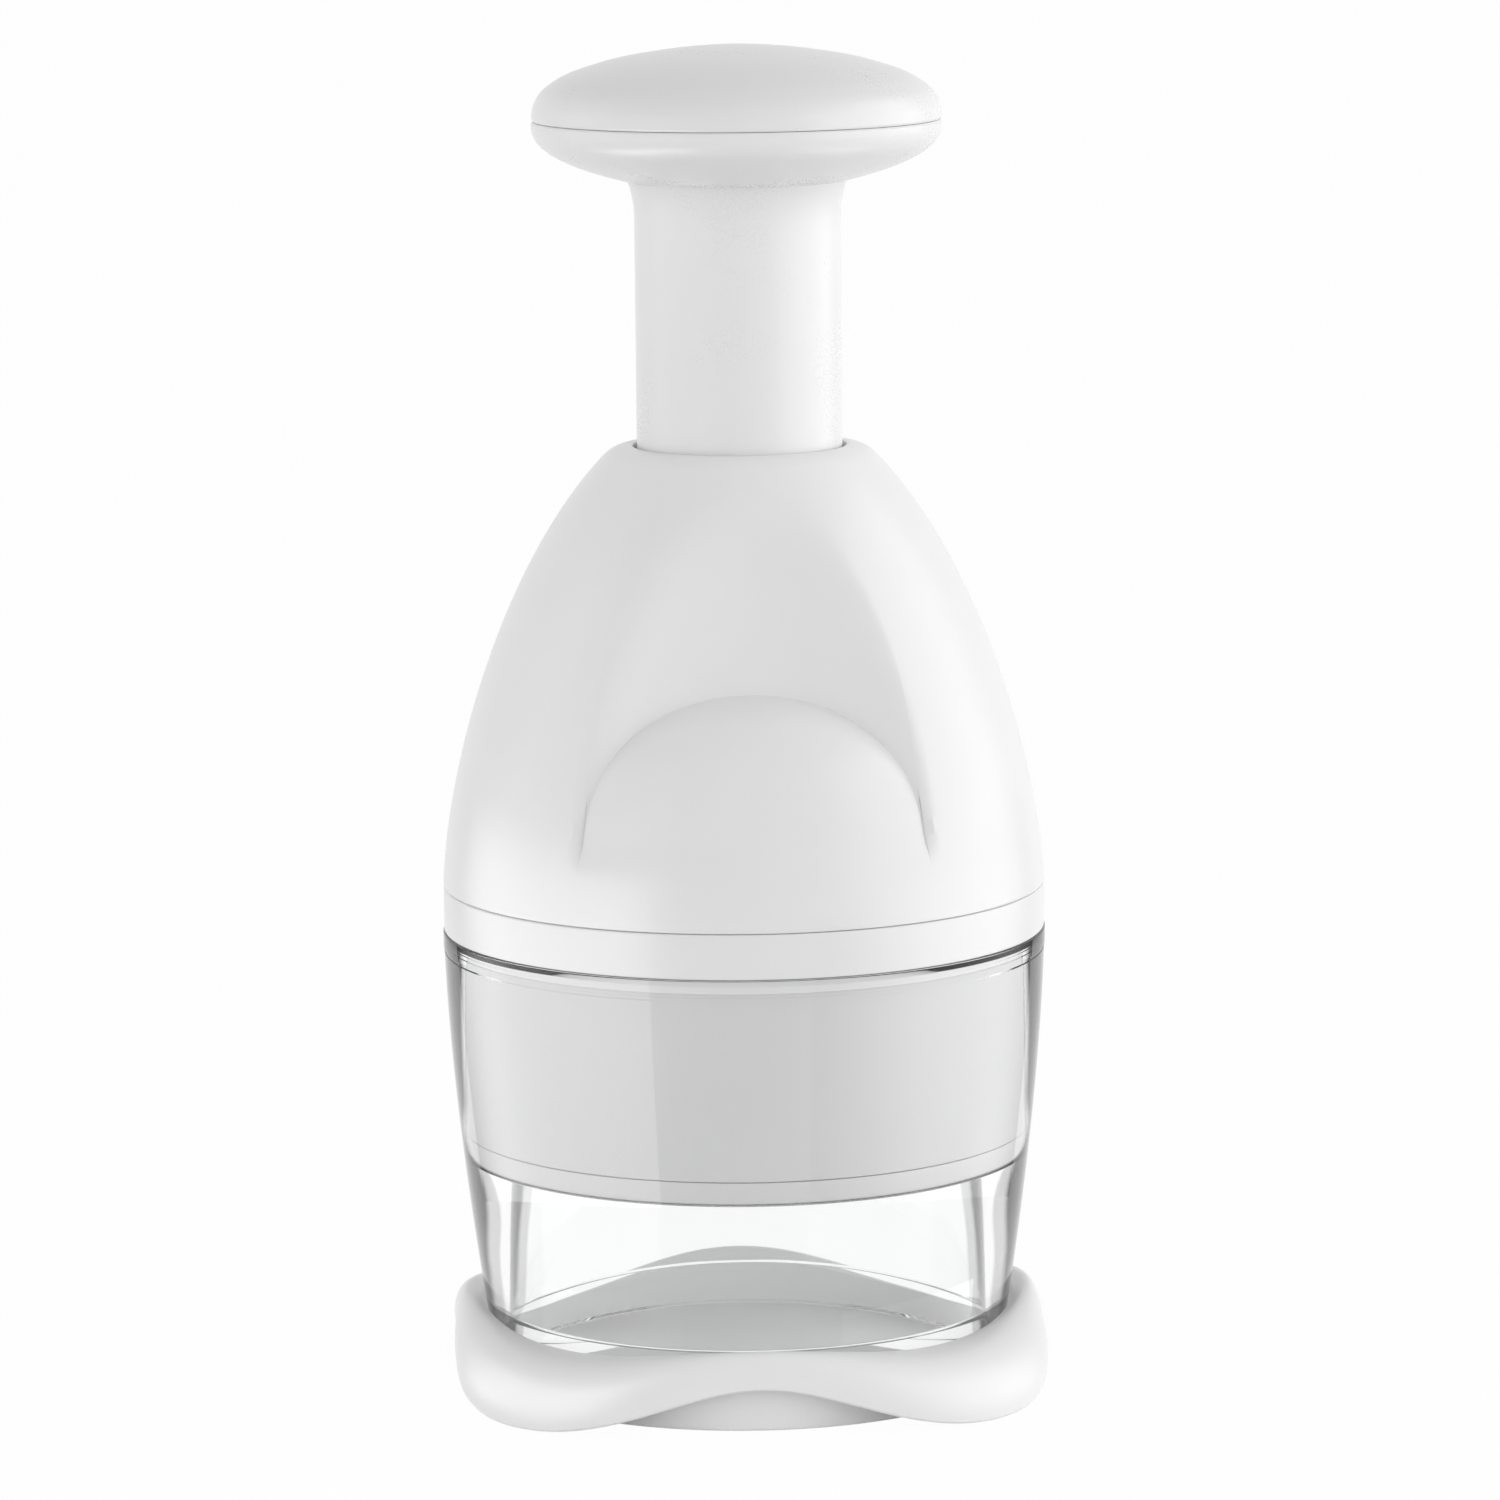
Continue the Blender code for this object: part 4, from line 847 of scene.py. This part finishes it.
def make_knob(material):
    """The knob's crowned cap, above a fine seam."""
    low = knob_seam + BREAK
    rise = knob_top - low
    outer = smooth_curve([(KNOB_RADIUS * across, low + rise * up) for across, up in KNOB_PROFILE], 5)
    wall = KNOB_RADIUS - KNOB_WALL
    inner = [(KNOB_RADIUS - KNOB_SEAM_STEP, low)]
    inner += [(wall * across, low + rise * up) for across, up in KNOB_HOLLOW]
    cap = turned("knob_crown", outer + inner, ROUND_STEPS, material)
    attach(cap, "plunger")
    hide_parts("knob_cap")


def smooth_curve(points, steps):
    """More points on a smooth curve through some."""
    spots = np.array([points[0], *points, points[-1]])
    result = []
    for before, start, end, after in zip(spots, spots[1:], spots[2:], spots[3:]):
        slope0, slope1 = (end - before) / 2, (after - start) / 2
        a = 2 * start - 2 * end + slope0 + slope1
        b = -3 * start + 3 * end - 2 * slope0 - slope1
        for t in np.arange(steps) / steps:
            across, up = ((a * t + b) * t + slope0) * t + start
            result.append((max(across, 0), up))
    return result + [points[-1]]


def make_tube(material):
    """The knob's lower shell and the plunger tube below it, with the flange at its foot, in one piece."""
    shell = []
    for step in range(SHELL_STEPS + 1):
        share = (step / SHELL_STEPS) ** 2
        radius = KNOB_RADIUS - (KNOB_RADIUS - TUBE_RADIUS - NECK_FLARE) * share
        drop = KNOB_SEAM_STEP + (SHELL_DEPTH - KNOB_SEAM_STEP) * share ** SHELL_SHAPE
        shell.append((radius, knob_seam - drop))
    neck = [(TUBE_RADIUS + out, knob_seam - SHELL_DEPTH - down) for out, down in NECK_POINTS]
    bore, flange = TUBE_RADIUS - TUBE_WALL, TUBE_RADIUS + TUBE_FLANGE
    foot = rounded([
        (bore, tube_low, 3),
        (flange, tube_low, 5),
        (flange, tube_low + TUBE_FLANGE_THICKNESS, 5),
        (TUBE_RADIUS, tube_low + TUBE_FLANGE_THICKNESS, 3),
        (TUBE_RADIUS, knob_seam - NECK_DEPTH, 0),
        (bore, knob_seam - NECK_DEPTH, 0),
    ])[:-2]  # the last two only give the corners before them their directions
    inside = [(KNOB_RADIUS - KNOB_SEAM_STEP, knob_seam), (TUBE_RADIUS, knob_seam), (bore, knob_seam)]
    tube = turned("knob_shell_and_tube", foot + neck + shell[::-1] + inside, ROUND_STEPS, material)
    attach(tube, "plunger")
    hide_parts("plunger_tube")


# The mechanism

SPRING_WIRE = 0.0013
WIRE_STEPS = 14
COIL_STEPS = 48  # a turn
SPRING_TURNS = 7.0
SPRING_END_TURNS = 1.0
SPRING_END_GAP = 0.0006
WASHER_LIP = 0.0008
WASHER_SLOPE = 0.0010
SCREW_HEAD_EDGE = 0.0003
SCREW_HEAD_HEIGHT = 0.0013
SCREW_NECK = 0.0003  # between the head and the thread
SCREW_TIP = 0.0010  # what the thread leaves free of the shank's end
SCREW_POINT = 0.0007
SCREW_POINT_SHARE = 0.7  # of the shank's radius
SCREW_THREADS = 8
THREAD_CORE_SHARE = 0.82
THREAD_RISE = 0.00018
CROSS_LENGTH = 0.0019
CROSS_WIDTH = 0.00038
CROSS_DEPTH = 0.0006


def coil_tree():
    """Geometry nodes for a compression spring whose end turns lie closed."""
    sizes = ("Radius", "Wire", "Low", "High", "Turns", "End turns", "End pitch")
    inputs = [(size, "Float") for size in sizes] + [("Material", "Material")]
    group, tree, given = group_with("closed_end_coil", inputs)
    radius, wire, low, high, working, ends, end_pitch = [given.other(size) for size in sizes]
    turns = working + ends * 2
    round_it = {"Rotations": turns, "Start Radius": radius, "End Radius": radius, "Height": 0.0}
    spiral = tree.node("GeometryNodeCurveSpiral", {}, {"Resolution": COIL_STEPS, **round_it})
    turn = tree.node("GeometryNodeSplineParameter") * turns
    closed = tree.math("MINIMUM", turn, ends) + tree.math("MAXIMUM", turn - ends - working, 0.0)
    open_part = tree.math("MINIMUM", tree.math("MAXIMUM", turn - ends, 0.0), working)
    pitch = (high - low - wire - ends * 2 * end_pitch) / working
    height = low + wire / 2 + closed * end_pitch + open_part * pitch
    rise = tree.node("ShaderNodeCombineXYZ", {}, {"Z": height})
    raised = tree.node("GeometryNodeSetPosition", {}, {"Geometry": spiral, "Offset": rise})
    circle = {"Resolution": WIRE_STEPS, "Radius": wire / 2}
    section = tree.node("GeometryNodeCurvePrimitiveCircle", {}, circle)
    sweep = {"Curve": raised, "Profile Curve": section, "Fill Caps": True}
    finish_group(tree, given, tree.node("GeometryNodeCurveToMesh", {}, sweep))
    return group


def make_spring(material):
    """The return spring, round the ratchet and under the tube."""
    low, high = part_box("return_spring")
    spring = new_piece("plunger_spring", bmesh.new(), material)
    values = {
        "Radius": high.x - SPRING_WIRE / 2,
        "Wire": SPRING_WIRE,
        "Low": low.z,
        "High": high.z,
        "Turns": SPRING_TURNS,
        "End turns": SPRING_END_TURNS,
        "End pitch": SPRING_WIRE + SPRING_END_GAP,
        "Material": material,
    }
    grown(spring, coil_tree(), values)
    settled(spring)
    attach(spring, "plunger")
    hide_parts("return_spring")
    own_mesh(spring)


def make_stop_washer(material):
    """The soft ring that the plunger's flange meets on its way up, with a lip at each face."""
    low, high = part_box("stop_washer")
    bore, out = TUBE_RADIUS + FIT, high.x
    lower = [
        (bore, low.z + BREAK, 2),
        (bore + WASHER_LIP, low.z, 2),
        (out - WASHER_SLOPE, low.z + BREAK, 3),
        (out, low.z + 2 * BREAK, 3),
    ]
    upper = [(across, low.z + high.z - height, fillet) for across, height, fillet in lower[::-1]]
    washer = turned("stop_ring_soft", rounded(lower + upper, steps=3), SMALL_STEPS, material)
    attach(washer, "plunger")
    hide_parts("stop_washer")


def screw_tree():
    """Geometry nodes that set one screw at each of a number of places round the axis."""
    inputs = [("Count", "Int"), ("Radius", "Float"), ("Start", "Float"), ("Material", "Material")]
    group, tree, given = group_with("screws_round_the_axis", inputs)
    circle = {"Vertices": given.other("Count"), "Radius": given.other("Radius")}
    turn = tree.node("ShaderNodeCombineXYZ", {}, {"Z": given.other("Start")})
    ring = {"Geometry": tree.node("GeometryNodeMeshCircle", {}, circle), "Rotation": turn}
    spots = tree.node("GeometryNodeTransform", {}, ring)
    screws = tree.node("GeometryNodeInstanceOnPoints", {}, {"Points": spots, "Instance": given})
    finish_group(tree, given, screws)
    return group


def make_screws(material):
    """Four countersunk cross-head screws that hold the guide plate in the bell, heads down."""
    low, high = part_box("guide_screw_1")
    middle = (low + high) / 2
    head = (high.x - low.x) / 2
    shank = head / 2
    cone_high = low.z + SCREW_HEAD_HEIGHT
    cone = [(head, low.z, 2), (head, low.z + SCREW_HEAD_EDGE, 0), (shank, cone_high, 0)]
    outline = [(0, low.z)] + rounded(cone, steps=3)
    thread_low = cone_high + SCREW_NECK
    for thread in range(SCREW_THREADS):
        base = thread_low + (high.z - SCREW_TIP - thread_low) * thread / SCREW_THREADS
        outline += [(shank * THREAD_CORE_SHARE, base), (shank, base + THREAD_RISE)]
    outline += [(shank * SCREW_POINT_SHARE, high.z - SCREW_POINT), (0, high.z)]
    screw = turned("guide_screws", outline, SCREW_STEPS, material)
    for size in ((CROSS_LENGTH, CROSS_WIDTH), (CROSS_WIDTH, CROSS_LENGTH)):
        builder = bmesh.new()
        bmesh.ops.create_cube(builder, size=1.0)
        bmesh.ops.scale(builder, vec=(*size, 2 * CROSS_DEPTH), verts=builder.verts)
        bmesh.ops.translate(builder, vec=(0, 0, low.z), verts=builder.verts)
        tool = new_piece("cross_slot", builder, material)
        cutter = screw.modifiers.new("cross", "BOOLEAN")
        cutter.operation, cutter.object = "DIFFERENCE", tool
        applied(screw, cutter)
        bpy.data.objects.remove(tool, do_unlink=True)
    reach = sqrt(middle.x ** 2 + middle.y ** 2)
    start = atan2(middle.y, middle.x)
    grown(screw, screw_tree(), {"Count": 4, "Radius": reach, "Start": start, "Material": material})
    settled(screw)
    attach(screw, "bell")
    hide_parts("guide_screw_1", "guide_screw_2", "guide_screw_3", "guide_screw_4")


BLADE_SPAN = 0.0355
BLADE_NEAR = 0.0070
BLADE_FAR = 0.0262
BLADE_FOLDS = 6
FOLD_RADIUS = 0.0007
BLADE_HALF = 0.0005
# Heights of the ground edge above the blade's foot, and half the blade's thickness there
BLADE_EDGE = [(0, 0.00006), (0.0010, 0.00022), (0.0040, BLADE_HALF)]


def blade_route(side):
    """The middle of a blade's folds seen from above, each fold bent on a small radius."""
    corners = []
    for fold in range(BLADE_FOLDS + 1):
        along = BLADE_SPAN * (2 * fold / BLADE_FOLDS - 1)
        corners.append(Vector((side * along, side * (BLADE_NEAR if fold % 2 == 0 else BLADE_FAR))))
    points = [corners[0]]
    for before, corner, after in zip(corners, corners[1:], corners[2:]):
        points += fillet(before, corner, after, FOLD_RADIUS, 8)
    return points + [corners[-1]]


def make_blade(name, node, side, material):
    """A folded strip of steel, ground on both sides to a fine edge along its foot."""
    low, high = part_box(node)
    route = blade_route(side)
    levels = [(low.z + rise, half) for rise, half in BLADE_EDGE]
    levels += [(high.z - BREAK, BLADE_HALF), (high.z, BLADE_HALF - BREAK)]
    sides = []
    for index in range(len(route)):
        run = (route[min(index + 1, len(route) - 1)] - route[max(index - 1, 0)]).normalized()
        sides.append(Vector((-run.y, run.x)))
    builder = bmesh.new()
    rings = []
    for height, half in levels:
        left = [builder.verts.new((*(point + across * half), height)) for point, across in zip(route, sides)]
        right = [builder.verts.new((*(point - across * half), height)) for point, across in zip(route, sides)]
        rings.append(left + right[::-1])
    join_rings(builder, zip(rings, rings[1:]))
    for ring in (rings[0], rings[-1]):
        for index in range(len(ring) // 2 - 1):
            builder.faces.new((ring[index], ring[index + 1], ring[-2 - index], ring[-1 - index]))
    blade = new_piece(name, builder, material)
    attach(blade, "blade_rotor")
    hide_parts(node)


def coat_nodes(finish, *names):
    """The finish of CAD nodes that stay visible."""
    for name in names:
        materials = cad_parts[name].data.materials
        materials.clear()
        materials.append(finish)


# Studio

WHITE = (1, 1, 1, 1)
TABLE_SIZE = 6.0
TABLE_TONES = (0.90, 0.90, 0.90, 1), (0.93, 0.93, 0.93, 1)
FLOOR_WHITE = 0.975  # share of plain white in what is seen of the table
FRONT_GLEAM = 0.35  # how bright the studio in front is in reflections
FRONT_SPAN = (-0.25, 0.35)
CEILING_SPAN = (0.1, 0.95)
AMBIENT = 0.73  # light from all round, with more from the front and less from above
FRONT_LIFT = 0.22
CEILING_DROP = 0.52
CARD_LOW, CARD_HIGH = 0.001, 0.10
CARD_REACH = 0.125  # from the axis
CARD_STEPS = 24
CARD_FADE = 32  # degrees over which a card's far end fades out
CARD_SLIVER = 0.001  # radians, so that a sharp edge still has a width
CAMERA_TURN, CAMERA_ROLL = radians(2.5), radians(0.53)
CAMERA_DISTANCE, CAMERA_HEIGHT = 1.1134, 0.28527
TARGET_HEIGHT, TARGET_SHIFT = 0.10694, 0.00127
CAMERA_LENS, CAMERA_SENSOR = 159.6, 36.0
CAMERA_CLIP = 0.05, 50.0


def seen_directly(tree):
    """1 for what the camera, a reflection or clear plastic shows of the studio, 0 for its light."""
    ray = tree.node("ShaderNodeLightPath")
    seen = tree.math("MAXIMUM", ray, ray.other("Is Glossy Ray"))
    return tree.math("MAXIMUM", seen, ray.other("Is Transmission Ray"))


def make_floor():
    """A pale table that looks white and keeps the chopper's soft shadow."""
    material, tree, shader = shader_tree("pale_table")
    cloud = noise(tree, places(tree), scale=6.0)
    tree.connect(tree.blend(cloud, *TABLE_TONES), shader, "Base Color")
    shader.inputs["Roughness"].default_value = 0.9
    white = tree.node("ShaderNodeEmission", {}, {"Color": WHITE, "Strength": 1.0})
    share = seen_directly(tree) * FLOOR_WHITE
    mix = tree.node("ShaderNodeMixShader", {}, {0: share, 1: Value(tree, shader.outputs[0]), 2: white})
    tree.connect(mix, tree.nodes.nodes["Material Output"], "Surface")
    builder = bmesh.new()
    bmesh.ops.create_grid(builder, x_segments=4, y_segments=4, size=TABLE_SIZE)
    new_piece("table", builder, material)


def make_world():
    """A white studio, dimmer in reflections from in front of the chopper, whose light is softer."""
    world = bpy.data.worlds.new("studio")
    world.use_nodes = True
    tree = Tree(world.node_tree)
    world.node_tree.nodes.clear()
    way = tree.node("ShaderNodeSeparateXYZ", {}, {0: tree.node("ShaderNodeTexCoord", output="Generated")}, 1)
    front = soft_step(tree, -way, *FRONT_SPAN)
    above = soft_step(tree, way.other("Z"), *CEILING_SPAN)
    glossy = tree.node("ShaderNodeLightPath").other("Is Glossy Ray")
    level = 1 - glossy * front * (1 - FRONT_GLEAM)
    light = AMBIENT + front * FRONT_LIFT - above * CEILING_DROP
    white = tree.node("ShaderNodeBackground", {}, {"Color": WHITE, "Strength": level})
    soft = tree.node("ShaderNodeBackground", {}, {"Color": WHITE, "Strength": light})
    both = tree.node("ShaderNodeMixShader", {}, {0: seen_directly(tree), 1: soft, 2: white})
    tree.node("ShaderNodeOutputWorld", {}, {"Surface": both})
    bpy.context.scene.world = world


def add_panel(name, first, second, height, level):
    """A soft lamp panel that stands between two points of the table; level is how bright its face is."""
    first, second = Vector(first), Vector(second)
    width = (second - first).length
    light = bpy.data.lights.new(name, "AREA")
    light.shape = "RECTANGLE"
    light.size, light.size_y = width, height
    light.energy = level * width * height * pi
    middle = (first + second) / 2 + Vector((0, 0, height / 2))
    along = (second - first).normalized()
    up = Vector((0, 0, 1))
    back = along.cross(up)
    if back.dot(Vector((middle.x, middle.y, 0))) < 0:
        along, back = -along, -back
    lamp = in_scene(name, light)
    lamp.matrix_world = standing(along, up, back, middle)
    lamp.visible_camera = False


def make_bounce_card(name, start, end, edge, level):
    """A curved white card beside the chopper that only shows as a gleam.

    It runs from a start to an end angle, in degrees from the front, and comes up over the first edge degrees.
    """
    material, tree, shader = shader_tree(name)
    tree.nodes.nodes.remove(shader)
    parts = tree.node("ShaderNodeSeparateXYZ", {}, {0: places(tree)})
    way = 1 if end > start else -1
    angle = tree.math("ARCTAN2", parts, -parts.other("Y")) * way
    rise = soft_step(tree, angle, radians(start * way) - CARD_SLIVER, radians(start * way + edge))
    fall = soft_step(tree, angle, radians(end * way - CARD_FADE), radians(end * way))
    colour = tree.blend(rise * (1 - fall), (FRONT_GLEAM / level,) * 3 + (1,), WHITE)
    gleam = tree.node("ShaderNodeEmission", {}, {"Color": colour, "Strength": level})
    tree.connect(gleam, tree.nodes.nodes["Material Output"], "Surface")
    builder = bmesh.new()
    turns = [radians(start + (end - start) * step / CARD_STEPS) for step in range(CARD_STEPS + 1)]
    low, high = [
        [builder.verts.new((CARD_REACH * sin(turn), -CARD_REACH * cos(turn), height)) for turn in turns]
        for height in (CARD_LOW, CARD_HIGH)
    ]
    for index in range(CARD_STEPS):
        builder.faces.new((low[index], low[index + 1], high[index + 1], high[index]))
    card = new_piece(name, builder, material)
    card.visible_camera = card.visible_diffuse = card.visible_transmission = card.visible_shadow = False


def make_camera():
    """Where the photograph was taken from: a long lens a little above the knob and a touch to the left."""
    place = Vector((-CAMERA_DISTANCE * sin(CAMERA_TURN), -CAMERA_DISTANCE * cos(CAMERA_TURN), CAMERA_HEIGHT))
    beside = Vector((cos(CAMERA_TURN), -sin(CAMERA_TURN), 0))
    forward = (Vector((0, 0, TARGET_HEIGHT)) + beside * TARGET_SHIFT - place).normalized()
    right = forward.cross(Vector((0, 0, 1))).normalized()
    up = right.cross(forward)
    rolled_right = right * cos(CAMERA_ROLL) + up * -sin(CAMERA_ROLL)
    rolled_up = up * cos(CAMERA_ROLL) + right * sin(CAMERA_ROLL)
    data = bpy.data.cameras.new("camera")
    data.lens, data.sensor_width = CAMERA_LENS, CAMERA_SENSOR
    data.clip_start, data.clip_end = CAMERA_CLIP
    camera = in_scene("camera", data)
    camera.matrix_world = standing(rolled_right, rolled_up, -forward, place)
    bpy.context.scene.camera = camera


def main():
    white = moulded_plastic("white_body_plastic", (0.84, 0.84, 0.84), 0.30)
    knob_white = moulded_plastic("white_knob_plastic", (0.84, 0.84, 0.84), 0.28)
    base_white = moulded_plastic("white_base_plastic", (0.86, 0.86, 0.86), 0.32)
    band_white = moulded_plastic("white_band_plastic", (0.83, 0.83, 0.83), 0.30)
    # Painted shade: the sleeve and its foot ring are the body's white plastic made darker, for the shade
    # inside the cup
    sleeve_white_painted_shade = moulded_plastic("white_plastic_painted_shade", (0.66, 0.66, 0.66), 0.38)
    inner = moulded_plastic("inner_plastic", (0.72, 0.73, 0.74), 0.45)
    clear = clear_moulding("clear_cup_plastic")
    steel = brushed_steel("blade_steel", (0.62, 0.63, 0.65), 0.22, (700.0, 700.0, 60.0))
    wire = brushed_steel("spring_wire", (0.60, 0.60, 0.62), 0.25, (500.0, 500.0, 500.0))
    rubber = soft_rubber("foot_rubber", (0.42, 0.43, 0.44))
    make_base(base_white)
    make_foot_pad(rubber)
    make_cup(clear)
    make_blade_housing(band_white, sleeve_white_painted_shade)
    make_guard_ring(sleeve_white_painted_shade)
    make_bell(white)
    make_bush(inner)
    make_knob(knob_white)
    make_tube(knob_white)
    coat_nodes(inner, "guide_plate", "ratchet_nut", "ratchet_cap")
    coat_nodes(inner, "tube_plug", "blade_carrier", "wiper_plate")
    coat_nodes(steel, "spindle", "carrier_pin")
    coat_nodes(wire, "spring_washer", "thrust_washer", "retaining_clip")
    make_spring(wire)
    make_stop_washer(rubber)
    make_screws(wire)
    make_blade("folded_blade_left", "blade_left", -1, steel)
    make_blade("folded_blade_right", "blade_right", 1, steel)
    make_floor()
    make_world()
    add_panel("right_panel", (0.75, -0.85, 0.0), (0.95, 0.55, 0.0), height=1.0, level=1.3)
    add_panel("left_panel", (-0.245, -0.39, 0.0), (-0.60, 0.20, 0.0), height=0.50, level=0.55)
    make_bounce_card("left_card", start=-31, end=-122, edge=0.5, level=3.8)
    make_bounce_card("right_card", start=18, end=118, edge=42, level=2.3)
    make_camera()
    bpy.context.scene.view_settings.view_transform = "Standard"


main()
